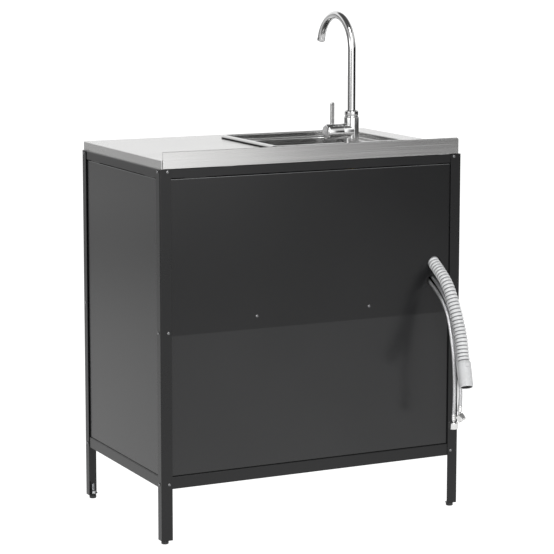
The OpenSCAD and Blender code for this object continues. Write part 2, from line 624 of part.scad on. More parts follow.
end_c = cold_route[len(cold_route) - 1];
end_h = hot_route[len(hot_route) - 1];
module end_ferrule(at, dir) aim(at, dir) {
    zcyl(0.1, 16, 0, 0, 6);
    zcyl(15.9, 27, 0, 0, 3.5);
    zcyl(26.9, 28.3, 0, 0, 5.2);
}
module supply_hose_ferrules() color("#c4c5c6") {
    for (p = [cold_route[0], hot_route[0]]) zcyl(p[2] + 0.1, p[2] + 20, p[0], p[1], 6);
    end_ferrule(end_c, [0, -0.03, -1]);
    end_ferrule(end_h, [0, -0.1, -1]);
}

// Union nut: open mouth at +Z, collar at the back
module union_nut() {
    color("#c9cacb") difference() {
        cylinder(h = 17, r = 12.7, $fn = 6);
        zcyl(9.5, 18, 0, 0, 9.2);
        zcyl(3, 10, 0, 0, 8.6);
        zcyl(-1, 4, 0, 0, 7.2);
    }
    color("#151515") difference() {
        zcyl(7.6, 9.4, 0, 0, 8.55);
        zcyl(7, 10, 0, 0, 5);
    }
}
module supply_hose_nuts() {
    aim(end_c + [0, -0.6, -21], [0, -0.03, -1]) union_nut();
    aim(nut_b_at, nut_b_dir) union_nut();
}

translate([0, oy, 0]) post_front_left();
translate([0, oy, 0]) post_front_right();
translate([0, oy, 0]) post_back_left();
translate([0, oy, 0]) post_back_right();
translate([0, oy, 0]) foot_front_left();
translate([0, oy, 0]) foot_front_right();
translate([0, oy, 0]) foot_back_left();
translate([0, oy, 0]) foot_back_right();
translate([0, oy, 0]) foot_nuts();
translate([0, oy, 0]) top_rail_front();
translate([0, oy, 0]) top_rail_back();
translate([0, oy, 0]) top_rail_left();
translate([0, oy, 0]) top_rail_right();
translate([0, oy, 0]) bottom_tray();
translate([0, oy, 0]) shelf_rails();
translate([0, oy, 0]) mid_shelf();
translate([0, oy, 0]) back_panel_upper();
translate([0, oy, 0]) back_panel_lower();
translate([0, oy, 0]) side_panel_left();
translate([0, oy, 0]) side_panel_right();
translate([0, oy, 0]) frame_screws();
translate([0, oy, 0]) frame_nuts();
translate([0, oy, 0]) panel_spacers();
translate([0, oy, 0]) door_left();
translate([0, oy, 0]) door_right();
translate([0, oy, 0]) door_handle_left();
translate([0, oy, 0]) door_handle_right();
translate([0, oy, 0]) hinge_frame_leaves();
translate([0, oy, 0]) hinge_door_leaves_left();
translate([0, oy, 0]) hinge_door_leaves_right();
translate([0, oy, 0]) hinge_pins();
translate([0, oy, 0]) magnet_catches();
translate([0, oy, 0]) strike_plate_left();
translate([0, oy, 0]) strike_plate_right();
translate([0, oy, 0]) worktop();
translate([0, oy, 0]) worktop_braces();
translate([0, oy, 0]) sink_bowl();
translate([0, oy, 0]) sink_seal();
translate([0, oy, 0]) sink_clips();
translate([0, oy, 0]) waste_cup();
translate([0, oy, 0]) waste_locknut();
translate([0, oy, 0]) strainer_basket();
translate([0, oy, 0]) trap_body();
translate([0, oy, 0]) drain_hose_nut();
translate([0, oy, 0]) drain_hose();
translate([0, oy, 0]) drain_hose_cuff();
translate([0, oy, 0]) tap_base_ring();
translate([0, oy, 0]) tap_body();
translate([0, oy, 0]) tap_cartridge();
translate([0, oy, 0]) tap_stem();
translate([0, oy, 0]) tap_cap();
translate([0, oy, 0]) tap_lever();
translate([0, oy, 0]) tap_spout();
translate([0, oy, 0]) tap_aerator();
translate([0, oy, 0]) tap_shank();
translate([0, oy, 0]) tap_mount_nut();
translate([0, oy, 0]) supply_hose_cold();
translate([0, oy, 0]) supply_hose_hot();
translate([0, oy, 0]) supply_hose_ferrules();
translate([0, oy, 0]) supply_hose_nuts();
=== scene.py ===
import math

import bmesh
import bpy
import numpy as np
from mathutils import Matrix, Vector
from mathutils.geometry import tessellate_polygon


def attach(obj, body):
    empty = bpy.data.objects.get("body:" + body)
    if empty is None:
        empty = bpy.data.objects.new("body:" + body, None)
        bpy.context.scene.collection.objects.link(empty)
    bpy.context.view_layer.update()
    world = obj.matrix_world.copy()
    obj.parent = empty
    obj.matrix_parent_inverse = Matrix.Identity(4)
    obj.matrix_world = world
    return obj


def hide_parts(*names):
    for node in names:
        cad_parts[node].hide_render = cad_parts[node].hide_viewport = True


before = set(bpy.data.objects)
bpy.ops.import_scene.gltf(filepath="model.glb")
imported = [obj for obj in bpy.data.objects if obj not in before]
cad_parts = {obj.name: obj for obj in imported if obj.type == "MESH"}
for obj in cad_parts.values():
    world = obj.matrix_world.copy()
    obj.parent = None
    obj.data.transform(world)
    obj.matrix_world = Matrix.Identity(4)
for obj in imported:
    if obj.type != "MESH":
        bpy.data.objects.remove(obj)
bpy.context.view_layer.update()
scene = bpy.context.scene
MM = 0.001
OY = 15.0  # the cabinet's middle in Y, mm

# ------------------------------------------------------------------ camera


def make_camera():
    data = bpy.data.cameras.new("camera")
    data.lens = 142.23
    data.sensor_width = 36.0
    data.sensor_fit = "AUTO"
    data.shift_x = 0.0
    data.shift_y = -0.08
    data.clip_start = 0.05
    data.clip_end = 100.0
    cam = bpy.data.objects.new("camera", data)
    scene.collection.objects.link(cam)
    a, e, roll = 2.68134236, 0.143472585, 0.00102735977
    back = Vector((math.sin(a) * math.cos(e), -math.cos(a) * math.cos(e), math.sin(e)))
    right = Vector((math.cos(a), math.sin(a), 0.0))
    up = back.cross(right)
    r2 = right * math.cos(roll) + up * math.sin(roll)
    u2 = up * math.cos(roll) - right * math.sin(roll)
    m = Matrix((r2, u2, back)).transposed().to_4x4()
    m.translation = Vector((2.5401349, 5.17953625, 1.56538997))
    cam.matrix_world = m
    scene.camera = cam
    return cam, r2, u2, back


camera, CAM_R, CAM_U, CAM_B = make_camera()

# ------------------------------------------------------------------ nodes for materials


class Mat:
    """Small helper round a node tree: one Principled shader and chains of nodes into it."""

    def __init__(self, name, **values):
        self.m = bpy.data.materials.new(name)
        self.m.use_nodes = True
        self.nt = self.m.node_tree
        self.b = self.nt.nodes["Principled BSDF"]
        for k, v in values.items():
            self.b.inputs[k.replace("_", " ")].default_value = v
        self.tc = self.nt.nodes.new("ShaderNodeTexCoord")

    def new(self, kind, **props):
        n = self.nt.nodes.new(kind)
        for k, v in props.items():
            setattr(n, k, v)
        return n

    def link(self, a, b):
        self.nt.links.new(a, b)

    def coords(self, which="Object", scale=(1, 1, 1), rotation=(0, 0, 0)):
        mp = self.new("ShaderNodeMapping")
        mp.inputs["Scale"].default_value = scale
        mp.inputs["Rotation"].default_value = rotation
        self.link(self.tc.outputs[which], mp.inputs["Vector"])
        return mp.outputs["Vector"]

    def noise(self, vec, scale, detail=3.0, rough=0.55, distortion=0.0):
        n = self.new("ShaderNodeTexNoise")
        n.inputs["Scale"].default_value = scale
        n.inputs["Detail"].default_value = detail
        n.inputs["Roughness"].default_value = rough
        n.inputs["Distortion"].default_value = distortion
        self.link(vec, n.inputs["Vector"])
        return n.outputs["Fac"]

    def wave(self, vec, scale, distortion=0.0, kind="BANDS", direction="X", profile="SIN"):
        n = self.new("ShaderNodeTexWave", wave_type=kind, wave_profile=profile)
        if kind == "BANDS":
            n.bands_direction = direction
        n.inputs["Scale"].default_value = scale
        n.inputs["Distortion"].default_value = distortion
        self.link(vec, n.inputs["Vector"])
        return n.outputs["Fac"]

    def span(self, fac, lo, hi, a=0.3, b=0.7):
        n = self.new("ShaderNodeMapRange")
        n.inputs["From Min"].default_value = a
        n.inputs["From Max"].default_value = b
        n.inputs["To Min"].default_value = lo
        n.inputs["To Max"].default_value = hi
        self.link(fac, n.inputs["Value"])
        return n.outputs["Result"]

    def ramp(self, fac, stops):
        n = self.new("ShaderNodeValToRGB")
        cr = n.color_ramp
        while len(cr.elements) < len(stops):
            cr.elements.new(0.5)
        for el, (p, c) in zip(cr.elements, stops):
            el.position = p
            el.color = (*c, 1.0)
        self.link(fac, n.inputs["Fac"])
        return n.outputs["Color"]

    def math(self, op, a, b):
        n = self.new("ShaderNodeMath", operation=op)
        for i, x in enumerate((a, b)):
            if isinstance(x, (int, float)):
                n.inputs[i].default_value = x
            else:
                self.link(x, n.inputs[i])
        return n.outputs[0]

    def mix(self, fac, a, b, kind="MIX"):
        n = self.new("ShaderNodeMix", data_type="RGBA", blend_type=kind)
        for sock, x in ((n.inputs[0], fac), (n.inputs[6], a), (n.inputs[7], b)):
            if isinstance(x, (int, float)):
                sock.default_value = x
            elif isinstance(x, tuple):
                sock.default_value = (*x, 1.0)
            else:
                self.link(x, sock)
        return n.outputs[2]

    def bump(self, height, strength=0.2, distance=0.0005, after=None):
        n = self.new("ShaderNodeBump")
        n.inputs["Strength"].default_value = strength
        n.inputs["Distance"].default_value = distance
        self.link(height, n.inputs["Height"])
        if after is not None:
            self.link(after, n.inputs["Normal"])
        return n.outputs["Normal"]

    def to(self, socket, out):
        self.link(out, self.b.inputs[socket])
        return self


def grey(v):
    return (v, v, v)


def powder(name, dark, light, rough=0.42, bump=0.10, spec=0.5, metallic=0.0):
    """Powder coat: fine orange peel, a slow drift of tone and faint handling marks."""
    m = Mat(name, Specular_IOR_Level=spec, Metallic=metallic)
    o = m.coords()
    slow = m.noise(o, 3.2, 3.0, 0.5)
    fine = m.noise(o, 1400.0, 2.0, 0.6)
    peel = m.noise(o, 520.0, 2.0, 0.5)
    scuff = m.noise(m.coords(scale=(1.0, 1.0, 3.0)), 30.0, 3.0, 0.5, 0.3)
    col = m.ramp(m.math("ADD", m.math("MULTIPLY", slow, 0.75), m.math("MULTIPLY", fine, 0.25)), [(0.32, dark), (0.68, light)])
    m.to("Base Color", col)
    r = m.math("ADD", m.span(slow, rough - 0.01, rough + 0.012), m.span(scuff, 0.0, 0.018, 0.55, 0.8))
    m.to("Roughness", r)
    n = m.bump(peel, bump, 0.0004)
    n = m.bump(fine, bump * 0.5, 0.00015, n)
    m.to("Normal", n)
    return m.m


def brushed(name, dark, light, rough=(0.22, 0.36), scale=(3.0, 900.0, 900.0), which="Object", bump=0.06, scratches=True, across=None, aniso=0.0):
    """Brushed metal: streaks drawn out along one axis, in tone, gloss and relief, with a few longer scratches."""
    m = Mat(name, Metallic=1.0)
    if across:
        # highlights are drawn out square to the brushing
        m.b.inputs["Anisotropic"].default_value = aniso
        geo = m.new("ShaderNodeNewGeometry")
        cr = m.new("ShaderNodeVectorMath", operation="CROSS_PRODUCT")
        m.link(geo.outputs["True Normal"], cr.inputs[0])
        cr.inputs[1].default_value = across
        off = m.new("ShaderNodeVectorMath", operation="ADD")
        m.link(cr.outputs[0], off.inputs[0])
        off.inputs[1].default_value = (0.0, 0.02, 0.0)
        nm = m.new("ShaderNodeVectorMath", operation="NORMALIZE")
        m.link(off.outputs[0], nm.inputs[0])
        m.link(nm.outputs[0], m.b.inputs["Tangent"])
    v = m.coords(which, scale=scale)
    streak = m.noise(v, 1.0, 4.0, 0.62)
    v2 = m.coords(which, scale=tuple(s * 0.23 for s in scale))
    broad = m.noise(v2, 1.0, 3.0, 0.55)
    cloud = m.noise(m.coords(), 4.0, 2.0, 0.5)
    tone = m.math("ADD", m.math("MULTIPLY", streak, 0.45), m.math("MULTIPLY", broad, 0.3))
    tone = m.math("ADD", tone, m.math("MULTIPLY", cloud, 0.25))
    m.to("Base Color", m.ramp(tone, [(0.34, dark), (0.66, light)]))
    r = m.span(m.math("ADD", m.math("MULTIPLY", streak, 0.6), m.math("MULTIPLY", broad, 0.4)), rough[0], rough[1], 0.34, 0.66)
    if scratches:
        s = m.noise(m.coords(which, scale=tuple(x * 0.6 for x in scale), rotation=(0.0, 0.0, 0.12)), 1.0, 1.0, 0.3)
        r = m.math("ADD", r, m.span(s, 0.0, 0.08, 0.66, 0.8))
    m.to("Roughness", r)
    if bump:
        m.to("Normal", m.bump(streak, bump, 0.0002))
    return m.m


def plastic(name, dark, light, rough=0.4, bump=0.05, scale=900.0, spec=0.5):
    m = Mat(name, Specular_IOR_Level=spec)
    o = m.coords()
    slow = m.noise(o, 14.0, 3.0, 0.5)
    fine = m.noise(o, scale, 2.0, 0.6)
    m.to("Base Color", m.ramp(m.math("ADD", m.math("MULTIPLY", slow, 0.7), m.math("MULTIPLY", fine, 0.3)), [(0.3, dark), (0.7, light)]))
    m.to("Roughness", m.span(slow, rough - 0.05, rough + 0.06))
    m.to("Normal", m.bump(fine, bump, 0.0003))
    return m.m


def plated(name, dark, light, rough=0.28, bump=0.05, scale=420.0):
    """Plated or cast metal: crystalline mottling and small dull spots."""
    m = Mat(name, Metallic=1.0)
    o = m.coords()
    mott = m.noise(o, scale * 0.4, 4.0, 0.6)
    fine = m.noise(o, scale * 3.0, 2.0, 0.5)
    slow = m.noise(o, 22.0, 3.0, 0.5)
    m.to("Base Color", m.ramp(m.math("ADD", m.math("MULTIPLY", mott, 0.5), m.math("MULTIPLY", slow, 0.5)), [(0.32, dark), (0.68, light)]))
    m.to("Roughness", m.math("ADD", m.span(mott, rough - 0.05, rough + 0.08), m.span(slow, 0.0, 0.05)))
    if bump:
        m.to("Normal", m.bump(fine, bump, 0.0001))
    return m.m


def braid_material(name):
    """Stainless braid: flat strands crossing on both slants, from the tube's own UV (u round it, v metres along it)."""
    m = Mat(name, Metallic=1.0)
    a = m.coords("UV", scale=(24.0, 430.0, 1.0))
    sep = m.new("ShaderNodeSeparateXYZ")
    m.link(a, sep.inputs[0])
    u, v = sep.outputs[0], sep.outputs[1]
    s1 = m.math("SINE", m.math("MULTIPLY", m.math("ADD", u, v), math.pi), 0.0)
    s2 = m.math("SINE", m.math("MULTIPLY", m.math("SUBTRACT", u, v), math.pi), 0.0)
    h = m.math("MAXIMUM", m.math("ABSOLUTE", s1, 0.0), m.math("ABSOLUTE", s2, 0.0))
    wires = m.noise(m.coords("UV", scale=(150.0, 2600.0, 1.0)), 1.0, 2.0, 0.5)
    # painted shade: the strands' colour runs down to near-black metal in the gaps of the weave
    m.to("Base Color", m.ramp(h, [(0.42, grey(0.04)), (0.95, (0.76, 0.76, 0.77))]))
    m.to("Roughness", m.span(wires, 0.24, 0.38))
    n = m.bump(h, 0.5, 0.0005)
    m.to("Normal", m.bump(wires, 0.15, 0.0002, n))
    return m.m


FRAME_COAT = powder("frame_coat", (0.0060, 0.0061, 0.0065), (0.0085, 0.0086, 0.0091), 0.28, 0.04, 0.38)
PANEL_COAT = powder("panel_coat", (0.0055, 0.0056, 0.0060), (0.0075, 0.0076, 0.0080), 0.22, 0.03, 0.42)
# painted light: the lower back panel gets the same coat about twice as light, in place of its brighter reflection
LOWER_PANEL_LIT_COAT = powder("lower_panel_painted_light_coat", (0.0110, 0.0112, 0.0117), (0.0140, 0.0142, 0.0148), 0.22, 0.03)
# painted light: the side panels get a lighter copy of the panel coat, in place of the light falling on the sides
SIDE_PANEL_LIT_COAT = powder("side_panel_painted_light_coat", (0.0080, 0.0082, 0.0086), (0.0105, 0.0107, 0.0112), 0.22, 0.03, 0.47)
# painted highlight: lighter, metallic copies of the powder coat laid on the fold faces in place of light caught by the
# bends; the side's copy is half as bright
BEND_HIGHLIGHT_COAT = powder("bend_painted_highlight", (0.24, 0.243, 0.247), (0.32, 0.323, 0.327), 0.2, 0.02, 0.5, 1.0)
BEND_SIDE_HIGHLIGHT_COAT = powder("bend_side_painted_highlight", (0.12, 0.122, 0.125), (0.16, 0.162, 0.165), 0.2, 0.02, 0.5, 1.0)
SCREW_COAT = powder("screw_coat", (0.20, 0.20, 0.205), (0.28, 0.28, 0.285), 0.24, 0.04, 0.5, 1.0)
ZINC = plated("zinc", (0.50, 0.51, 0.52), (0.66, 0.67, 0.68), 0.34)
GLIDE = plastic("glide_plastic", grey(0.010), grey(0.018), 0.45)
SATIN = brushed("satin_steel", grey(0.50), grey(0.64), (0.24, 0.36), (900.0, 900.0, 3.0))
WHITE_PLASTIC = plastic("white_plastic", (0.66, 0.66, 0.64), (0.76, 0.76, 0.74), 0.38)
STEEL_X = brushed("brushed_stainless", (0.60, 0.597, 0.592), (0.72, 0.717, 0.712), (0.19, 0.26), (2.5, 700.0, 700.0), bump=0.006, across=(1.0, 0.0, 0.0), aniso=0.9)
STEEL_SINK = brushed("brushed_stainless_bowl", (0.44, 0.44, 0.437), (0.60, 0.60, 0.596), (0.18, 0.28), (4.0, 500.0, 220.0), bump=0.02)
RUBBER = plastic("black_rubber", grey(0.004), grey(0.008), 0.7, spec=0.1)
HOSE_PLASTIC = plastic("grey_hose_plastic", (0.53, 0.535, 0.54), (0.62, 0.625, 0.63), 0.3, 0.04, 700.0)
TAP_STEEL = brushed("tap_steel", grey(0.60), grey(0.68), (0.10, 0.13), (40.0, 6.0, 1.0), "UV", 0.0, False)
TAP_BODY = brushed("tap_body_steel", grey(0.58), grey(0.68), (0.19, 0.25), (40.0, 6.0, 1.0), "UV", 0.0, False)
TAP_STEEL_OBJ = brushed("tap_steel_machined", grey(0.54), grey(0.66), (0.14, 0.2), (40.0, 40.0, 500.0), "Object", 0.0)
BRASS = plated("brass", (0.62, 0.44, 0.19), (0.76, 0.57, 0.28), 0.30)
BRAID = braid_material("steel_braid")
NICKEL = plated("nickel", (0.72, 0.717, 0.71), (0.86, 0.857, 0.85), 0.17, 0.0)


def ring_material(name, pitch):
    """The drain hose: the same plastic, with painted shade darkening the grooves between its rings (UV: v metres along
    it).
    """
    m = Mat(name, Specular_IOR_Level=0.5)
    o = m.coords()
    slow = m.noise(o, 14.0, 3.0, 0.5)
    fine = m.noise(o, 700.0, 2.0, 0.6)
    body = m.ramp(m.math("ADD", m.math("MULTIPLY", slow, 0.7), m.math("MULTIPLY", fine, 0.3)), [(0.3, (0.58, 0.585, 0.59)), (0.7, (0.68, 0.685, 0.69))])
    sep = m.new("ShaderNodeSeparateXYZ")
    m.link(m.tc.outputs["UV"], sep.inputs[0])
    ph = m.math("FRACT", m.math("DIVIDE", sep.outputs[1], pitch), 0.0)
    d = m.math("ABSOLUTE", m.math("SUBTRACT", ph, 0.5), 0.0)
    # painted shade: near-black colour mixed into the grooves between the rings
    groove_shade = m.span(m.math("ADD", d, m.math("MULTIPLY", m.math("SUBTRACT", slow, 0.5), 0.05)), 0.0, 1.0, 0.30, 0.46)
    m.to("Base Color", m.mix(groove_shade, body, (0.11, 0.112, 0.116)))
    m.to("Roughness", m.span(slow, 0.24, 0.34))
    m.to("Normal", m.bump(fine, 0.04, 0.0003))
    return m.m


# painted shade: near-black plastic for the cuff's bore, where the grey plastic lies in shade
BORE_SHADE_PLASTIC = plastic("hose_bore_painted_shade", grey(0.012), grey(0.03), 0.55)
RING_PLASTIC = ring_material("grey_ring_plastic", 0.00975)

# ------------------------------------------------------------------ meshes


class Geo:
    """Vertices in millimetres, faces, a smooth flag and a UV list for each face."""

    def __init__(self):
        self.v, self.f, self.s, self.uv, self.mi = [], [], [], [], []

    def add(self, v, f, s=None, uv=None, at=None, mat=0):
        n = len(self.v)
        at = Matrix.Identity(4) if at is None else at
        flip = at.to_3x3().determinant() < 0
        self.v += [tuple(at @ Vector(p)) for p in v]
        for i, face in enumerate(f):
            idx = [n + k for k in face]
            u = None if uv is None else list(uv[i])
            if flip:
                idx = idx[::-1]
                u = None if u is None else u[::-1]
            self.f.append(idx)
            self.uv.append(u)
            self.s.append(True if s is None else s[i])
            self.mi.append(mat)
        return self

    def geo(self, g, at=None, mat=None):
        n = len(self.mi)
        self.add(g.v, g.f, g.s, [u if u is not None else [(0.0, 0.0)] * len(f) for u, f in zip(g.uv, g.f)], at)
        self.mi[n:] = [g.mi[i] if mat is None else mat for i in range(len(g.mi))]
        return self

    def make(self, name, materials, body="cabinet", nodes=(), slot=None, sharp=34.0, recalc=True, shift=True):
        me = bpy.data.meshes.new(name)
        dy = OY if shift else 0.0
        me.from_pydata([(x * MM, (y + dy) * MM, z * MM) for x, y, z in self.v], [], self.f)
        layer = me.uv_layers.new(name="UVMap")
        k = 0
        for p, u in zip(me.polygons, self.uv):
            for j in range(p.loop_total):
                layer.data[p.loop_start + j].uv = u[j] if u is not None else (0.0, 0.0)
            p.use_smooth = self.s[k]
            p.material_index = self.mi[k]
            k += 1
        bm = bmesh.new()
        bm.from_mesh(me)
        if recalc:
            bmesh.ops.recalc_face_normals(bm, faces=bm.faces)
        lim = math.radians(sharp)
        for e in bm.edges:
            if len(e.link_faces) == 2 and e.calc_face_angle(0.0) > lim:
                e.smooth = False
        bm.to_mesh(me)
        bm.free()
        o = bpy.data.objects.new(name, me)
        scene.collection.objects.link(o)
        for m in materials if isinstance(materials, (list, tuple)) else [materials]:
            me.materials.append(m)
        if body:
            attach(o, body)
        if nodes:
            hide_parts(*([nodes] if isinstance(nodes, str) else nodes))
        return o


def axes(origin, ax, ay, az):
    m = Matrix((Vector(ax), Vector(ay), Vector(az))).transposed().to_4x4()
    m.translation = Vector(origin)
    return m


def aim(at, direction, roll=0.0):
    """Local +Z along a direction, as the CAD's own aim does."""
    d = Vector(direction).normalized()
    a = math.acos(max(-1.0, min(1.0, d.z)))
    b = math.atan2(d.y, d.x)
    return Matrix.Translation(Vector(at)) @ Matrix.Rotation(b, 4, "Z") @ Matrix.Rotation(a, 4, "Y") @ Matrix.Rotation(roll, 4, "Z")


def quarter(qx, qy):
    return Matrix.Diagonal((qx, qy, 1.0, 1.0))


def fillet(pts, radii, seg=4, closed=True):
    """Rounds a polygon's corners. Returns the points and, for each, whether the side that starts there is part of an arc."""
    n = len(pts)
    out, arc = [], []
    for i, (p, r) in enumerate(zip(pts, radii)):
        p = Vector(p)
        if r <= 0 or (not closed and i in (0, n - 1)):
            out.append(tuple(p))
            arc.append(False)
            continue
        a, b = Vector(pts[i - 1]), Vector(pts[(i + 1) % n])
        da, db = (a - p).normalized(), (b - p).normalized()
        ang = da.angle(db)
        t = r / math.tan(ang / 2)
        c = p + (da + db).normalized() * (r / math.sin(ang / 2))
        s0, s1 = p + da * t - c, p + db * t - c
        a0 = math.atan2(s0.y, s0.x)
        turn = math.atan2(s0.x * s1.y - s0.y * s1.x, s0.dot(s1))
        for k in range(seg + 1):
            th = a0 + turn * k / seg
            out.append((c.x + r * math.cos(th), c.y + r * math.sin(th)))
            arc.append(k < seg)
    return out, arc


def prism(pts, arc, z0, z1, g=None, at=None, mat=0):
    """A closed profile in local XY drawn out along local Z."""
    g = g or Geo()
    n = len(pts)
    v = [(x, y, z0) for x, y in pts] + [(x, y, z1) for x, y in pts]
    f, s = [], []
    for i in range(n):
        j = (i + 1) % n
        f.append((i, j, n + j, n + i))
        s.append(bool(arc[i]))
    f += [tuple(range(n - 1, -1, -1)), tuple(range(n, 2 * n))]
    s += [False, False]
    return g.add(v, f, s, None, at, mat)


def block(x0, x1, y0, y1, z0, z1, r=0.3, g=None, at=None, mat=0):
    """A small block with its long edges rounded."""
    pts, arc = fillet([(x0, y0), (x1, y0), (x1, y1), (x0, y1)], [r] * 4, 3)
    return prism(pts, arc, z0, z1, g, at, mat)


def folded(poly, folds, t, r, holes=(), seg=4, g=None, at=None, mat=0, lip_gap=0.6, painted_highlight_mat=None, painted_highlight_edges=()):
    """Folded sheet. poly is the outline seen from the good side (+Z local, counter-clockwise, outside sizes), folds {edge: (depth, lip)}."""
    g = g or Geo()
    P = [Vector(p) for p in poly]
    n = len(P)
    lines = []
    for i in range(n):
        d = (P[(i + 1) % n] - P[i]).normalized()
        nrm = Vector((d.y, -d.x))
        lines.append((P[i] - nrm * (r if i in folds else 0.0), d, nrm))
    vo, vi, f, s, painted_highlight_faces = [], [], [], [], set()

    def pair(x, y, zo, xi, yi, zi):
        vo.append((x, y, zo))
        vi.append((xi, yi, zi))
        return len(vo) - 1

    start, end, ring = [None] * n, [None] * n, []
    for i in range(n):
        (p0, d0, _), (p1, d1, _) = lines[i - 1], lines[i]
        cr = d0.x * d1.y - d0.y * d1.x
        if abs(cr) < 1e-6:
            a, b = p0 + d0 * (P[i] - p0).dot(d0), p1 + d1 * (P[i] - p1).dot(d1)
            if (a - b).length < 1e-6:
                k = pair(a.x, a.y, 0.0, a.x, a.y, -t)
                end[i - 1] = start[i] = k
                ring.append(k)
            else:
                k, k2 = pair(a.x, a.y, 0.0, a.x, a.y, -t), pair(b.x, b.y, 0.0, b.x, b.y, -t)
                end[i - 1], start[i] = k, k2
                ring += [k, k2]
        else:
            w = p1 - p0
            q = p0 + d0 * ((w.x * d1.y - w.y * d1.x) / cr)
            k = pair(q.x, q.y, 0.0, q.x, q.y, -t)
            end[i - 1] = start[i] = k
            ring.append(k)
    if holes:
        idx = list(ring)
        loops = [[Vector((vo[k][0], vo[k][1], 0.0)) for k in ring]]
        for h in holes:
            ks = [pair(x, y, 0.0, x, y, -t) for x, y in h]
            idx += ks
            loops.append([Vector((x, y, 0.0)) for x, y in h])
        for tri in tessellate_polygon(loops):
            a, b, c = (Vector(vo[idx[k]]) for k in tri)
            if (b - a).cross(c - a).z < 0:
                tri = tri[::-1]
            f.append(tuple(idx[k] for k in tri))
            s.append(False)
    else:
        f.append(tuple(ring))
        s.append(False)
    for i, spec in folds.items():
        depth, lip = spec if isinstance(spec, tuple) else (spec, 0.0)
        nrm, d = lines[i][2], lines[i][1]
        a, b = Vector(vo[start[i]][:2]), Vector(vo[end[i]][:2])
        rows = []
        for k in range(1, seg + 1):
            th = math.pi / 2 * k / seg
            rows.append((r * math.sin(th), -r + r * math.cos(th), (r - t) * math.sin(th), -r + (r - t) * math.cos(th), True, 0.0))
        zl = -depth if not lip else -(depth - r)
        rows.append((r, zl, r - t, zl, False, 0.0))
        if lip:
            for k in range(1, seg + 1):
                th = math.pi / 2 * k / seg
                rows.append((r * math.cos(th), zl - r * math.sin(th), (r - t) * math.cos(th), zl - (r - t) * math.sin(th), True, 0.0))
            rows.append((r - lip, -depth, r - lip, -depth + t, False, lip - r + lip_gap))
        prev = (start[i], end[i])
        for oo, zo, oi, zi, smooth, inset in rows:
            pa, pb = a + d * inset, b - d * inset
            q = pa + nrm * oo
            w = pa + nrm * oi
            ka = pair(q.x, q.y, zo, w.x, w.y, zi)
            q = pb + nrm * oo
            w = pb + nrm * oi
            kb = pair(q.x, q.y, zo, w.x, w.y, zi)
            if smooth and i in painted_highlight_edges:
                painted_highlight_faces.add(len(f))
            f.append((prev[1], prev[0], ka, kb))
            s.append(smooth)
            prev = (ka, kb)
    m = len(vo)
    # fold faces of the listed edges get the painted highlight material, the rest keep the coat
    tones = [painted_highlight_mat if k in painted_highlight_faces else mat for k in range(len(f))]
    count = {}
    for face in f:
        for x, y in zip(face, face[1:] + face[:1]):
            count[(x, y)] = count.get((x, y), 0) + 1
    faces = list(f) + [tuple(m + k for k in face[::-1]) for face in f]
    flags = list(s) + list(s)
    for x, y in list(count):
        if (y, x) not in count:
            faces.append((y, x, m + x, m + y))
            flags.append(False)
    first = len(g.mi)
    g.add(vo + vi, faces, flags, None, at, mat)
    g.mi[first:first + len(tones)] = tones
    return g


def lathe(profile, seg=64, g=None, at=None, closed=True, mat=0, a0=0.0, a1=360.0):
    """Profile of (radius, height) carried round local Z. UV: u round it, v metres along the profile."""
    g = g or Geo()
    full = abs(a1 - a0 - 360.0) < 1e-6
    cols = seg if full else seg + 1
    v, rows, ln = [], [], [0.0]
    for i, (r, z) in enumerate(profile):
        if i:
            ln.append(ln[-1] + math.hypot(r - profile[i - 1][0], z - profile[i - 1][1]))
        if r < 1e-6:
            rows.append([len(v)] * cols)
            v.append((0.0, 0.0, z))
        else:
            rows.append(list(range(len(v), len(v) + cols)))
            for k in range(cols):
                th = math.radians(a0 + (a1 - a0) * k / seg)
                v.append((r * math.cos(th), r * math.sin(th), z))
    f, uv = [], []
    pairs = list(zip(range(len(profile) - 1), range(1, len(profile))))
    if closed:
        pairs.append((len(profile) - 1, 0))
    for i, j in pairs:
        vi, vj = ln[i] * MM, (ln[j] if j else ln[-1] + math.hypot(profile[0][0] - profile[-1][0], profile[0][1] - profile[-1][1])) * MM
        for k in range(seg):
            k2 = (k + 1) % cols
            face = [rows[i][k], rows[i][k2], rows[j][k2], rows[j][k]]
            u = [(k / seg, vi), ((k + 1) / seg, vi), ((k + 1) / seg, vj), (k / seg, vj)]
            keep = [q for q in range(4) if face[q] != face[q - 1]]
            if len(keep) < 3:
                continue
            f.append(tuple(face[q] for q in keep))
            uv.append([u[q] for q in keep])
    return g.add(v, f, None, uv, at, mat)


def spline(route, ds):
    """Smooth line through the route's points, resampled at even steps. Returns points and the length, in mm."""
    p = [Vector(q) for q in route]
    p = [p[0] * 2 - p[1]] + p + [p[-1] * 2 - p[-2]]
    dense = []
    for i in range(1, len(p) - 2):
        p0, p1, p2, p3 = p[i - 1], p[i], p[i + 1], p[i + 2]
        for k in range(16):
            t = k / 16
            dense.append(0.5 * ((2 * p1) + (p2 - p0) * t + (2 * p0 - 5 * p1 + 4 * p2 - p3) * t * t + (3 * p1 - p0 - 3 * p2 + p3) * t ** 3))
    dense.append(p[-2].copy())
    ln = [0.0]
    for a, b in zip(dense, dense[1:]):
        ln.append(ln[-1] + (b - a).length)
    total = ln[-1]
    n = max(2, int(round(total / ds)))
    out, j = [], 0
    for k in range(n + 1):
        s = total * k / n
        while j < len(ln) - 2 and ln[j + 1] < s:
            j += 1
        w = (s - ln[j]) / max(1e-9, ln[j + 1] - ln[j])
        out.append(dense[j].lerp(dense[j + 1], min(1.0, max(0.0, w))))
    return out, total


def frames(pts):
    tang = []
    for i in range(len(pts)):
        tang.append((pts[min(i + 1, len(pts) - 1)] - pts[max(i - 1, 0)]).normalized())
    u = tang[0].orthogonal().normalized()
    res = []
    for i, t in enumerate(tang):
        if i:
            u = (tang[i - 1].rotation_difference(t) @ u)
            u = (u - t * u.dot(t)).normalized()
        res.append((t, u, t.cross(u)))
    return res


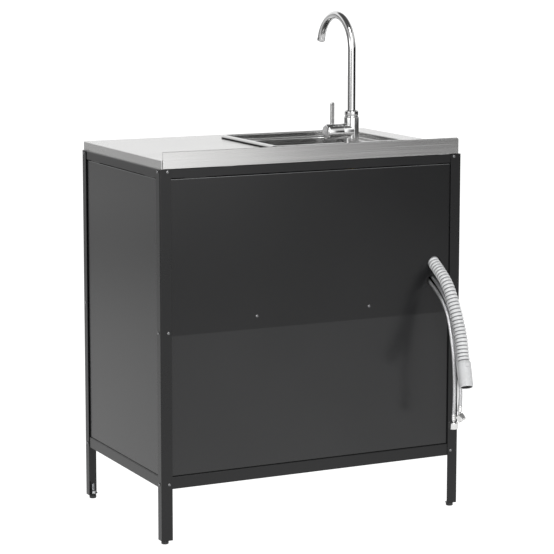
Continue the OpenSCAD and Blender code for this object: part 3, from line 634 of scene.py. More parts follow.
def sweep(pts, radius, seg=32, g=None, cap=True, at=None, mat=0):
    """Tube along points; radius is a number or a function of (distance along in mm, angle)."""
    g = g or Geo()
    fr = frames(pts)
    s, v = [0.0], []
    for a, b in zip(pts, pts[1:]):
        s.append(s[-1] + (b - a).length)
    for i, p in enumerate(pts):
        _, u, w = fr[i]
        for k in range(seg):
            th = 2 * math.pi * k / seg
            r = radius(s[i], th) if callable(radius) else radius
            v.append(tuple(p + u * (r * math.cos(th)) + w * (r * math.sin(th))))
    f, uv, flags = [], [], []
    for i in range(len(pts) - 1):
        for k in range(seg):
            k2 = (k + 1) % seg
            f.append((i * seg + k, i * seg + k2, (i + 1) * seg + k2, (i + 1) * seg + k))
            uv.append([(k / seg, s[i] * MM), ((k + 1) / seg, s[i] * MM), ((k + 1) / seg, s[i + 1] * MM), (k / seg, s[i + 1] * MM)])
            flags.append(True)
    if cap:
        m = (len(pts) - 1) * seg
        f += [tuple(range(seg - 1, -1, -1)), tuple(m + k for k in range(seg))]
        uv += [[(0.0, 0.0)] * seg, [(0.0, 0.0)] * seg]
        flags += [False, False]
    return g.add(v, f, flags, uv, at, mat)


def solid_cut(target, cutters):
    """Cuts closed tools out of a mesh object, exactly, and leaves a plain mesh."""
    mats = list(target.data.materials)
    for c in cutters:
        md = target.modifiers.new("cut", "BOOLEAN")
        md.operation, md.solver, md.object = "DIFFERENCE", "EXACT", c
    bpy.context.view_layer.update()
    dg = bpy.context.evaluated_depsgraph_get()
    me = bpy.data.meshes.new_from_object(target.evaluated_get(dg))
    target.modifiers.clear()
    target.data = me
    if len(me.materials) < len(mats):
        me.materials.clear()
        for m in mats:
            me.materials.append(m)
    for c in cutters:
        bpy.data.objects.remove(c)
    return target


def resharp(o, sharp=34.0):
    bm = bmesh.new()
    bm.from_mesh(o.data)
    lim = math.radians(sharp)
    for e in bm.edges:
        e.smooth = not (len(e.link_faces) == 2 and e.calc_face_angle(0.0) > lim)
    for f in bm.faces:
        f.smooth = True
    bm.to_mesh(o.data)
    bm.free()
    return o


def tool(g):
    o = g.make("cut_tool", [], body=None)
    return o


def cyl_profile(r, z0, z1, e=0.5, seg=3):
    """Plain cylinder's profile with rounded rims, from the axis out and back."""
    pts, _ = fillet([(0.0, z0), (r, z0), (r, z1), (0.0, z1)], [0, e, e, 0], seg, closed=False)
    return pts


# ------------------------------------------------------------------ cords

DRAIN_ROUTE = [(-181, 29, 735), (-204, 48, 735), (-227, 68, 734), (-251, 88, 732), (-275, 108, 729), (-301, 130, 722), (-324, 154, 713),
               (-340, 179, 702), (-350, 207, 689), (-355, 237, 673), (-355, 260, 660), (-355, 288, 643), (-355, 315, 624), (-355, 336, 602),
               (-355, 354, 574), (-355, 372, 544), (-355, 387, 513), (-353, 403, 480), (-349, 417, 446), (-347, 425, 430)]
COLD_ROUTE = [(-141, 204, 880), (-141, 204, 850), (-143, 204, 810), (-150, 203, 765), (-165, 201, 722), (-190, 199, 688), (-222, 198, 664),
              (-255, 198, 650), (-285, 200, 641), (-313, 208, 634), (-332, 222, 628), (-342, 240, 621), (-343, 260, 611), (-343, 288, 595),
              (-343, 315, 577), (-343, 333, 559), (-343, 347, 540), (-343, 359, 513), (-343, 368, 483), (-343, 376, 453), (-343, 381, 424),
              (-343, 384, 393), (-343, 386, 362), (-343, 386, 324), (-343, 384, 285)]
HOT_ROUTE = [(-125, 204, 880), (-125, 205, 850), (-127, 207, 808), (-135, 209, 765), (-151, 211, 725), (-176, 212, 694), (-208, 211, 674),
             (-240, 208, 664), (-272, 206, 659), (-303, 208, 652), (-331, 218, 644), (-349, 238, 635), (-353, 260, 621), (-353, 286, 606),
             (-353, 310, 588), (-353, 328, 569), (-353, 343, 546), (-353, 356, 512), (-353, 366, 477), (-353, 376, 440), (-353, 387, 405),
             (-353, 396, 372), (-353, 400, 342), (-353, 399, 310)]
CUFF_DIR = Vector((0.135, 0.438, -0.888)).normalized()


def corrugation(s, _):
    """Wide rounded rings with narrow grooves between them."""
    ph = (s / 9.75) % 1.0
    d = min(ph, 1.0 - ph)
    return 15.95 - 2.6 * math.exp(-((d / 0.16) ** 2)) - 0.4 * (0.5 - d)


def make_drain_hose():
    pts, total = spline(DRAIN_ROUTE, 0.975)
    g = sweep(pts, corrugation, 48)
    hose = g.make("drain_hose_corrugated", RING_PLASTIC, "cabinet", "drain_hose", "grey_hose_plastic", sharp=80)
    # cuff: smooth sleeve with a rolled rim, a bore and a tear-off lug
    prof, _ = fillet([(14.5, 0.65), (17.2, 0.65), (17.5, 3.4), (17.5, 63.5), (17.1, 66.8), (14.5, 66.8)], [0.5, 0.8, 1.0, 1.0, 0.7, 0.7], 3)
    at = aim(DRAIN_ROUTE[-1], CUFF_DIR)
    c = lathe(prof, 72, at=at)
    # the bore's inner wall takes the near-black painted shade
    c.mi[-72:] = [1] * 72
    # shallow rings where the sleeve is shrunk on the corrugation
    for z in (4.0, 9.0):
        ring, _ = fillet([(17.0, z), (17.5, z + 0.3), (17.5, z + 1.2), (17.0, z + 1.5)], [0, 0.3, 0.3, 0], 2)
        lathe(ring, 72, c, at)
    lug, arc = fillet([(16.8, -4), (20.3, -4), (20.3, 4), (16.8, 4)], [0, 1.1, 1.1, 0], 4)
    prism(lug, arc, 6.2, 16.8, c, at @ Matrix.Rotation(math.radians(168), 4, "Z"))
    cuff = c.make("drain_hose_cuff_sleeve", [HOSE_PLASTIC, BORE_SHADE_PLASTIC], "cabinet", "drain_hose_cuff", "grey_hose_plastic")
    return hose, cuff, total


def braid_radius(s, th):
    a = 12 * th + s * 2 * math.pi / 14.0 * 3
    b = 12 * th - s * 2 * math.pi / 14.0 * 3
    return 4.82 + 0.16 * max(math.cos(a), math.cos(b))


def make_supply(name, route, end_dir, node):
    pts, total = spline(route, 1.0)
    g = sweep(pts, braid_radius, 48)
    hose = g.make(name, BRAID, "cabinet", node, "steel_braid", sharp=80)
    # crimped ferrules, with two pressed rings
    prof, _ = fillet([(4.4, 0.1), (5.6, 0.1), (6.0, 1.4), (6.0, 4.4), (5.55, 5.2), (5.55, 6.6), (6.0, 7.4), (6.0, 10.0), (5.55, 10.8), (5.55, 12.2),
                      (6.0, 13.0), (6.0, 15.2), (5.4, 16.0), (3.5, 16.0), (3.5, 26.9), (5.2, 26.9), (5.2, 28.3), (0, 28.3), (0, 0.1)],
                     [0, 0.3, 0.4, 0.3, 0.2, 0.2, 0.3, 0.3, 0.2, 0.2, 0.3, 0.4, 0.3, 0.2, 0.3, 0.2, 0.2, 0, 0], 2)
    end = lathe(prof, 48, at=aim(route[-1], end_dir)).make(name + "_ferrule_end", NICKEL, "cabinet", "supply_hose_ferrules", "nickel")
    prof2, _ = fillet([(4.4, 0.1), (5.6, 0.1), (6.0, 1.4), (6.0, 5.0), (5.55, 5.8), (5.55, 7.4), (6.0, 8.2), (6.0, 11.6), (5.55, 12.4), (5.55, 14.0),
                       (6.0, 14.8), (6.0, 18.8), (5.4, 20.0), (0, 20.0), (0, 0.1)], [0, 0.3, 0.4, 0.3, 0.2, 0.2, 0.3, 0.3, 0.2, 0.2, 0.3, 0.4, 0.3, 0, 0], 2)
    top = lathe(prof2, 48, at=aim(route[0], (0, 0, 1))).make(name + "_ferrule_tap", NICKEL, "cabinet", "supply_hose_ferrules", "nickel")
    return hose, end, top, total, pts


def union_nut(name, at, body="cabinet"):
    """Hex union nut with chamfered corners, a collar, a threaded mouth and its rubber washer."""
    g = Geo()
    R, h = 12.7, 17.0
    n = 96
    levels = [(0.0, 10.4), (1.5, 12.2), (2.3, 12.7), (14.7, 12.7), (15.6, 12.2), (17.0, 10.9)]

    # hexagon with its points at 0, 60, 120 degrees, cut back by a cone at both ends
    v, f, s = [], [], []
    for z, lim in levels:
        for k in range(n):
            th = 2 * math.pi * k / n
            kk = (th) % (math.pi / 3)
            r = R * math.cos(math.pi / 6) / math.cos(kk - math.pi / 6)
            r = min(r, lim)
            v.append((r * math.cos(th), r * math.sin(th), z))
    for i in range(len(levels) - 1):
        for k in range(n):
            k2 = (k + 1) % n
            f.append((i * n + k, i * n + k2, (i + 1) * n + k2, (i + 1) * n + k))
            s.append(True)
    g.add(v, f, s)
    # inside: mouth with thread ridges, shoulder, back hole
    inner = [(10.9, 17.0), (9.9, 16.6)]
    z = 16.2
    while z > 9.9:
        inner += [(9.25, z), (9.75, z - 0.45)]
        z -= 0.9
    inner += [(9.2, 9.5), (8.6, 9.5), (8.6, 3.0), (7.2, 3.0), (7.2, 0.0), (10.4, 0.0)]
    vv, rows = [], []
    for r, z in inner:
        rows.append(len(vv))
        for k in range(n):
            th = 2 * math.pi * k / n
            if (r, z) in ((10.9, 17.0), (10.4, 0.0)):
                kk = th % (math.pi / 3)
                rr = min(R * math.cos(math.pi / 6) / math.cos(kk - math.pi / 6), r)
            else:
                rr = r
            vv.append((rr * math.cos(th), rr * math.sin(th), z))
    ff = []
    for i in range(len(inner) - 1):
        for k in range(n):
            k2 = (k + 1) % n
            ff.append((rows[i] + k, rows[i] + k2, rows[i + 1] + k2, rows[i + 1] + k))
    g.add(vv, ff)
    g2 = Geo().geo(g, at)
    o = g2.make(name, [NICKEL, RUBBER], body, "supply_hose_nuts", "nickel", sharp=28)
    bm = bmesh.new()
    bm.from_mesh(o.data)
    bmesh.ops.remove_doubles(bm, verts=bm.verts, dist=1e-6)
    bmesh.ops.recalc_face_normals(bm, faces=bm.faces)
    bm.to_mesh(o.data)
    bm.free()
    resharp(o, 28)
    w, _ = fillet([(5.0, 7.6), (8.5, 7.6), (8.5, 9.4), (5.0, 9.4)], [0.4] * 4, 3)
    gasket = lathe(w, 48, at=at).make(name + "_gasket", RUBBER, body, "supply_hose_nuts", "black_rubber")
    return o, gasket


hose, cuff, drain_len = make_drain_hose()
cold, cold_end, cold_top, cold_len, cold_pts = make_supply("supply_hose_cold_braid", COLD_ROUTE, (0, -0.03, -1), "supply_hose_cold")
hot, hot_end, hot_top, hot_len, hot_pts = make_supply("supply_hose_hot_braid", HOT_ROUTE, (0, -0.1, -1), "supply_hose_hot")
nut_a, gasket_a = union_nut("union_nut_cold", aim((COLD_ROUTE[-1][0], COLD_ROUTE[-1][1] - 0.6, COLD_ROUTE[-1][2] - 21), (0, -0.03, -1)))
nut_b, gasket_b = union_nut("union_nut_hot", aim((-352.4, 395.2, 284.6), (-0.315, 0.546, -0.777)))

# ------------------------------------------------------------------ frame

HW, HD, T = 430.0, 260.0, 2.0
IX, IY = HW - T, HD - T
RX, RY = IX - T, IY - T
OX, OYF = HW - 30.0, HD - 24.0
CAB_H, RAIL_Z, PAN_TOP, TRAY_Z, SEAM_Z, SHELF_Z = 950.0, 927.5, 925.0, 174.0, 532.0, 575.0
TOP_Z = 973.0


def make_post(name, qx, qy):
    g = Geo()
    prof, arc = fillet([(OX, IY), (IX, IY), (IX, OYF), (HW, OYF), (HW, HD), (OX, HD)], [0.35, 0.8, 0.35, 0.35, 2.8, 0.35], 5)
    prism(prof, arc, 10.0, CAB_H, g, quarter(qx, qy))
    foot, farc = fillet([(IX + 0.2, IY + 0.2), (OX + 1, IY + 0.2), (OX + 1, IY - 9), (IX - 9, OYF + 1), (IX + 0.2, OYF + 1)], [0.3, 0.6, 1.5, 1.5, 0.6], 3)
    prism(foot, farc, 10.05, 12.5, g, quarter(qx, qy))
    return g.make(name + "_angle", FRAME_COAT, "cabinet", name, "frame_coat")


make_post("post_front_left", -1, -1)
make_post("post_front_right", 1, -1)
make_post("post_back_left", -1, 1)
make_post("post_back_right", 1, 1)


def along_x(x0):
    """Profile (first, second) = (Y, Z), drawn out along X from x0."""
    return axes((x0, 0, 0), (0, 1, 0), (0, 0, 1), (1, 0, 0))


def along_y(y0):
    """Profile (first, second) = (-X, Z) drawn out along Y."""
    return axes((0, y0, 0), (-1, 0, 0), (0, 0, 1), (0, 1, 0))


def make_rail_x(name, qy, w):
    g = Geo()
    prof, arc = fillet([(RY, RAIL_Z), (IY, RAIL_Z), (IY, CAB_H), (IY - w, CAB_H), (IY - w, CAB_H - T), (RY, CAB_H - T)], [0.35, 0.35, 2.6, 0.35, 0.35, 0.7], 5)
    prism(prof, arc, 0, 2 * OX, g, quarter(1, qy) @ along_x(-OX))
    for x in (-RX, OX):
        end, ea = fillet([(RY, RAIL_Z), (IY, RAIL_Z), (IY, CAB_H - T), (RY, CAB_H - T)], [0.35] * 4, 2)
        prism(end, ea, 0, RX - OX, g, quarter(1, qy) @ along_x(x))
    return g.make(name + "_angle", FRAME_COAT, "cabinet", name, "frame_coat")


make_rail_x("top_rail_front", -1, 40)
make_rail_x("top_rail_back", 1, 28)


def make_rail_y(name, qx):
    g = Geo()
    prof, arc = fillet([(RX, RAIL_Z), (IX, RAIL_Z), (IX, CAB_H), (OX, CAB_H), (OX, CAB_H - T), (RX, CAB_H - T)], [0.35, 0.35, 2.6, 0.35, 0.35, 0.7], 5)
    at = axes((0, IY, 0), (1, 0, 0), (0, 0, 1), (0, -1, 0))
    prism(prof, arc, 0.05, 2 * IY - 0.05, g, quarter(qx, 1) @ at)
    return g.make(name + "_angle", FRAME_COAT, "cabinet", name, "frame_coat")


make_rail_y("top_rail_left", -1)
make_rail_y("top_rail_right", 1)


def make_tray():
    g = folded([(-IX, -IY), (IX, -IY), (IX, IY), (-IX, IY)], {0: 32.0, 1: 29.0, 2: 32.0, 3: 29.0}, T, 2.6, at=Matrix.Translation((0, 0, TRAY_Z)), seg=5)
    return g.make("bottom_tray_pan", FRAME_COAT, "cabinet", "bottom_tray", "frame_coat")


make_tray()


def make_shelf():
    poly = [(-396, 255), (-396, 241), (-411, 241), (-411, -236), (411, -236), (411, 241), (396, 241), (396, 255)]
    g = folded(poly, {2: 23.5, 3: 23.5, 4: 23.5, 7: 23.5}, 1.5, 2.2, at=Matrix.Translation((0, 0, SHELF_Z)), seg=4)
    return g.make("mid_shelf_pan", PANEL_COAT, "cabinet", "mid_shelf", "frame_coat")


make_shelf()


def make_shelf_rails():
    g = Geo()
    for i in (-1, 1):
        prof, arc = fillet([(RX - 21, 550), (RX - 2.5, 550), (RX - 2.5, 530), (RX - 1, 530), (RX - 1, 551.5), (RX - 21, 551.5)], [0.3, 0.4, 0.3, 0.3, 1.9, 0.3], 4)
        prism(prof, arc, 0, 460, g, quarter(i, 1) @ axes((0, 230, 0), (1, 0, 0), (0, 0, 1), (0, -1, 0)))
        for y0, y1 in ((-254, -230), (230, 254)):
            block(RX - 2.5, RX - 1, y0, y1, 530, 551.3, 0.2, g, quarter(i, 1))
    return g.make("shelf_rails_angle", FRAME_COAT, "cabinet", "shelf_rails", "frame_coat")


make_shelf_rails()

BACK = lambda y: axes((0, y, 0), (-1, 0, 0), (0, 0, 1), (0, 1, 0))


def ring_points(cx, cy, ax, ay, r, n=8):
    pts = []
    for sx, sy, a in ((1, 1, 0), (-1, 1, 90), (-1, -1, 180), (1, -1, 270)):
        for k in range(n + 1):
            th = math.radians(a + 90 * k / n)
            pts.append((cx + sx * (ax - r) + r * math.cos(th), cy + sy * (ay - r) + r * math.sin(th)))
    return pts


def make_back_upper():
    x = OX + 3
    poly = [(-x, SEAM_Z), (x, SEAM_Z), (x, 580), (x, PAN_TOP), (-x, PAN_TOP), (-x, 580)]
    holes = [[(cx + r * math.cos(a), cz + r * math.sin(a)) for a in np.linspace(0, -2 * math.pi, 49)[:-1]]
             for cx, cz, r in ((355.0, 662.5, 19.5), (348.5, 618.0, 14.0))]
    # the top fold takes the painted highlight
    g = folded(poly, {2: 13.0, 3: 13.0, 4: 13.0}, 1.0, 1.5, holes, at=BACK(RY), seg=4, painted_highlight_mat=1, painted_highlight_edges=(3,))
    for i in (-1, 1):
        block(i * (OX - 2) if i > 0 else -(OX + 18), i * (OX + 18) if i > 0 else -(OX - 2), RY - 1, RY, SEAM_Z, SEAM_Z + 20, 0.2, g)
        block(min(i * 300, i * 360), max(i * 300, i * 360), RY - 3, RY - 2, PAN_TOP - 0.9, PAN_TOP + 15, 0.2, g)
    return g.make("back_panel_upper_skin", [PANEL_COAT, BEND_HIGHLIGHT_COAT], "cabinet", "back_panel_upper", "panel_coat")


def make_back_lower():
    x = OX + 3
    poly = [(-x, TRAY_Z), (x, TRAY_Z), (x, SEAM_Z - 4), (x, SEAM_Z + 18), (-x, SEAM_Z + 18), (-x, SEAM_Z - 4)]
    g = folded(poly, {0: 13.0, 1: 13.0, 5: 13.0}, 1.0, 1.5, at=BACK(RY - 1), seg=4)
    for i in (-1, 1):
        block(i * (OX - 2) if i > 0 else -(OX + 18), i * (OX + 18) if i > 0 else -(OX - 2), RY - 2, RY - 1, SEAM_Z, SEAM_Z + 18, 0.2, g)
    # painted light: the lower panel's coat is a lighter copy of the upper one
    return g.make("back_panel_lower_skin", LOWER_PANEL_LIT_COAT, "cabinet", "back_panel_lower", "panel_coat")


make_back_upper()
make_back_lower()


def make_side(name, i):
    y = OYF + 3
    at = axes((i * RX, 0, 0), (0, i, 0), (0, 0, 1), (i, 0, 0))
    poly = [(-y, TRAY_Z), (y, TRAY_Z), (y, 524), (y, 560), (y, PAN_TOP), (-y, PAN_TOP), (-y, 560), (-y, 524)]
    # the top fold takes the weaker painted highlight
    g = folded(poly, {0: 13.0, 1: 13.0, 3: 13.0, 4: 13.0, 5: 13.0, 7: 13.0}, 1.0, 1.5, at=at, seg=4, painted_highlight_mat=1, painted_highlight_edges=(4,))
    q = quarter(i, 1)
    for j in (-1, 1):
        a, b = sorted((j * (OYF - 2), j * (OYF + 18)))
        block(RX - 1, RX, a, b, 529, 553, 0.2, g, q)
        a, b = sorted((j * 150, j * 210))
        block(RX - 3, RX - 2, a, b, PAN_TOP - 0.9, PAN_TOP + 15, 0.2, g, q)
    # painted light: the sides' coat is a lighter copy of the panel coat
    return g.make(name + "_skin", [SIDE_PANEL_LIT_COAT, BEND_SIDE_HIGHLIGHT_COAT], "cabinet", name, "panel_coat")


make_side("side_panel_left", -1)
make_side("side_panel_right", 1)

# ------------------------------------------------------------------ screws and feet


def screw_mesh(length):
    """Pan-head screw, head along +Z from the surface, with a cross recess and a threaded end."""
    head, _ = fillet([(0.0, 2.5), (1.6, 2.5), (3.1, 2.1), (4.0, 1.0), (4.0, 0.0), (2.0, 0.0)], [0, 0.8, 0.9, 0.7, 0.15, 0], 3, closed=False)
    prof = list(head)
    z = -0.6
    while z > -length + 1.2:
        prof += [(1.98, z), (1.72, z - 0.35)]
        z -= 0.7
    prof += [(1.5, -length), (0.0, -length)]
    g = lathe(prof, 28, closed=False)
    o = g.make("screw_master", [SCREW_COAT], body=None, shift=False)
    tools = []
    for k in range(2):
        t = Geo()
        v = [(-2.1, -0.42, 2.8), (2.1, -0.42, 2.8), (2.1, 0.42, 2.8), (-2.1, 0.42, 2.8), (-1.0, -0.3, 1.35), (1.0, -0.3, 1.35), (1.0, 0.3, 1.35), (-1.0, 0.3, 1.35)]
        t.add(v, [(0, 1, 2, 3), (7, 6, 5, 4), (0, 4, 5, 1), (1, 5, 6, 2), (2, 6, 7, 3), (3, 7, 4, 0)], [False] * 6, None, Matrix.Rotation(math.pi / 2 * k, 4, "Z"))
        to = t.make("cut_tool", [], body=None, shift=False)
        tools.append(to)
    solid_cut(o, tools)
    resharp(o, 32)
    me = o.data
    out = Geo()
    flags = [p.use_smooth for p in me.polygons]
    out.add([tuple(v.co / MM) for v in me.vertices], [tuple(p.vertices) for p in me.polygons], flags)
    bpy.data.objects.remove(o)
    return out


SCREW12, SCREW10 = screw_mesh(12.0), screw_mesh(10.0)


def make_screws():
    g = Geo()
    k = 0
    zs = (944.0, 541.0, 155.0)
    for i in (-1, 1):
        for j in (-1, 1):
            for z in zs:
                if j > 0 or z != zs[1]:
                    at = axes((i * 409.0, j * HD, z), (1, 0, 0), (0, 0, j), (0, j, 0))
                    at = Matrix.Translation(at.translation) @ Matrix.Rotation(-j * math.pi / 2, 4, "X")
                    g.geo(SCREW12, at @ Matrix.Rotation(0.4 + 1.3 * k, 4, "Z"))
                    k += 1
                at = Matrix.Translation((i * HW, j * 246.0, z)) @ Matrix.Rotation(i * math.pi / 2, 4, "Y")
                g.geo(SCREW12, at @ Matrix.Rotation(0.9 + 1.7 * k, 4, "Z"))
                k += 1
    for x in (163.0, -160.0):
        g.geo(SCREW10, Matrix.Translation((x, RY, SHELF_Z - 10)) @ Matrix.Rotation(-math.pi / 2, 4, "X") @ Matrix.Rotation(0.3 + x, 4, "Z"))
    for x in (240.0, -380.0):
        for j in (-1, 1):
            g.geo(SCREW10, Matrix.Translation((x, j * (HD - 17), CAB_H - 2)) @ Matrix.Rotation(math.pi, 4, "X"))
    return g.make("frame_screws_cross", SCREW_COAT, "cabinet", "frame_screws", "screw_coat", sharp=32)


make_screws()


def make_foot(node, qx, qy):
    at = Matrix.Translation((qx * 416.0, qy * 246.0, 0.0))
    prof, _ = fillet([(0, 0), (8.4, 0), (9.5, 1.2), (9.5, 7.5), (7.8, 10), (0, 10)], [0, 0.5, 0.6, 1.2, 0.8, 0], 4, closed=False)
    g = lathe(prof, 48, at=at, closed=False)
    glide = g.make(node + "_glide", GLIDE, node.replace("foot", "leveller"), node, "glide_plastic")
    stud = [(0.0, 9.9), (3.9, 9.9)]
    z = 10.4
    while z < 38.6:
        stud += [(3.45, z), (3.98, z + 0.5)]
        z += 1.0
    stud += [(3.3, 39.6), (2.9, 40.0), (0.0, 40.0)]
    s = lathe(stud, 32, at=at, closed=False)
    return glide, s.make(node + "_stud", ZINC, node.replace("foot", "leveller"), node, "zinc", sharp=60)


for n, qx, qy in (("foot_front_left", -1, -1), ("foot_front_right", 1, -1), ("foot_back_left", -1, 1), ("foot_back_right", 1, 1)):
    make_foot(n, qx, qy)

# ------------------------------------------------------------------ doors


def make_door(name, i):
    at = axes((0, -IY, 0), (1, 0, 0), (0, 0, 1), (0, -1, 0))
    x0, x1 = (1.5, OX - 1.5) if i > 0 else (-(OX - 1.5), -1.5)
    poly = [(x0, TRAY_Z + 3.5), (x1, TRAY_Z + 3.5), (x1, RAIL_Z - 3.5), (x0, RAIL_Z - 3.5)]
    g = folded(poly, {0: (18.0, 13.0), 1: (18.0, 13.0), 2: (18.0, 13.0), 3: (18.0, 13.0)}, 1.0, 1.5, at=at, seg=4)
    return g.make(name + "_skin", PANEL_COAT, name, name, "panel_coat")


def make_handle(node, i):
    at = quarter(i, 1)
    g = lathe(cyl_profile(5.0, 700.0, 860.0, 1.3, 5), 48, at=at @ Matrix.Translation((36, -IY - 29.5, 0)), closed=False)
    for z in (716.0, 844.0):
        a = at @ Matrix.Translation((36, -IY, z)) @ Matrix.Rotation(math.pi / 2, 4, "X")
        prof, _ = fillet([(0, 0.0), (4.0, 0.0), (4.0, 1.6), (3.6, 2.2), (3.6, 24.2), (4.0, 27.5), (0, 27.5)], [0, 0.3, 0.3, 0.3, 1.0, 0, 0], 3, closed=False)
        lathe(prof, 36, g, a, closed=False)
    o = g.make(node + "_bar", SATIN, "door_left" if i < 0 else "door_right", node, "satin_steel")
    s = Geo()
    for z in (716.0, 844.0):
        s.geo(SCREW10, at @ Matrix.Translation((36, -IY + 1.0, z)) @ Matrix.Rotation(-math.pi / 2, 4, "X"))
    # the screws' shanks run into the standoffs
    so = s.make(node + "_screws", SCREW_COAT, "door_left" if i < 0 else "door_right", node, "screw_coat", sharp=32)
    return o, so


make_door("door_left", -1)
make_door("door_right", 1)
make_handle("door_handle_left", -1)
make_handle("door_handle_right", 1)

# ------------------------------------------------------------------ worktop

SX, SY = -133.5, -11.0
WLX, WLY, WLR = 184.5, 155.0, 7.0
RIM_Z, LEDGE_Z, FLOOR_Z = 982.0, 966.0, 825.0
TX, TY = -133.0, 204.0
US_X0, US_X1 = -422.0, 421.0


def make_worktop():
    yb = HD - 2.6 - 1.2  # where the sheet starts to turn up
    poly = [(-424, -264.5), (424, -264.5), (424, yb), (-424, yb)]
    sink = ring_points(SX, SY, WLX + 9, WLY + 9, 14)[::-1]
    tap = [(TX + 17.5 * math.cos(a), TY + 17.5 * math.sin(a)) for a in np.linspace(0, 2 * math.pi, 33)[:-1]][::-1]
    g = folded(poly, {0: 23.0, 1: 23.0, 3: 23.0}, 1.2, 2.4, [sink, tap], at=Matrix.Translation((0, 0, TOP_Z)), seg=5)
    # upstand: the sheet turns up, doubles over at the top and comes down behind the frame
    o, i = [], []
    for k in range(6):
        th = math.pi / 2 * k / 5
        o.append((yb + 1.2 * math.sin(th), TOP_Z + 1.2 - 1.2 * math.cos(th)))
        i.append((yb + 2.4 * math.sin(th), TOP_Z + 1.2 - 2.4 * math.cos(th)))
    # o is the face towards the sink, i the back of the same sheet
    c, zt = HD - 1.4, TOP_Z + 20.0
    outer, flags = [], []
    for k in range(9):
        th = math.pi - math.pi * k / 8
        outer.append((c + 1.2 * math.cos(th), zt - 1.2 + 1.2 * math.sin(th)))
    face = o + outer + [(HD - 0.2, CAB_H + 1.5), (HD - 0.6, CAB_H + 1.0), (HD - 1.0, CAB_H + 1.0), (HD - 1.38, CAB_H + 1.5), (HD - 1.38, TOP_Z + 1.0)] + i[::-1]
    n = len(face)
    arc = [k < 5 or 6 <= k < 14 for k in range(n)]
    arc[n - 6:n - 1] = [True] * 5
    prism(face, arc, US_X0, US_X1, g, along_x(0))
    for x0, x1 in ((420.6, 423.95), (-423.95, -421.6)):
        block(x0, x1, yb - 0.4, HD - 3.0, CAB_H + 0.3, TOP_Z - 0.8, 0.3, g)
    o = g.make("worktop_sheet", STEEL_X, "cabinet", "worktop", "brushed_stainless")
    t = Geo()
    r = 6.0
    pts = [(US_X0 - 1, zt + 1), (US_X0 - 1, zt - r)] + [(US_X0 + r - r * math.cos(a), zt - r + r * math.sin(a)) for a in np.linspace(0, math.pi / 2, 9)] + [(US_X0 + r, zt + 1)]
    prism(pts, [False] * len(pts), -(HD + 2), -(HD - 5), t, axes((0, 0, 0), (1, 0, 0), (0, 0, 1), (0, -1, 0)))
    tool_o = t.make("cut_tool", [], body=None)
    solid_cut(o, [tool_o])
    return o


make_worktop()


def rr_ring(ax, ay, r, z, nc=10, ns=6):
    """Points of a rounded rectangle, the same number for any size, starting at +X -Y and going counter-clockwise."""
    pts = []
    for sx, sy, a in ((1, -1, 270), (1, 1, 0), (-1, 1, 90), (-1, -1, 180)):
        for k in range(nc + 1):
            th = math.radians(a + 90 * k / nc)
            pts.append((sx * (ax - r) + r * math.cos(th), sy * (ay - r) + r * math.sin(th), z))
        nx = {270: (1, 1, 0), 0: (-1, 1, 90), 90: (-1, -1, 180), 180: (1, -1, 270)}[a]
        th = math.radians(nx[2])
        q = (nx[0] * (ax - r) + r * math.cos(th), nx[1] * (ay - r) + r * math.sin(th), z)
        p = pts[-1]
        for k in range(1, ns):
            w = k / ns
            pts.append((p[0] + (q[0] - p[0]) * w, p[1] + (q[1] - p[1]) * w, z))
    return pts


def loft(rings, g=None, close_last=False):
    g = g or Geo()
    n = len(rings[0])
    v = [p for ring in rings for p in ring]
    f = []
    for i in range(len(rings) - 1):
        for k in range(n):
            k2 = (k + 1) % n
            f.append((i * n + k, i * n + k2, (i + 1) * n + k2, (i + 1) * n + k))
    return g.add(v, f)


def arc2(c, r, a0, a1, n):
    return [(c[0] + r * math.cos(math.radians(a0 + (a1 - a0) * k / n)), c[1] + r * math.sin(math.radians(a0 + (a1 - a0) * k / n))) for k in range(n + 1)]


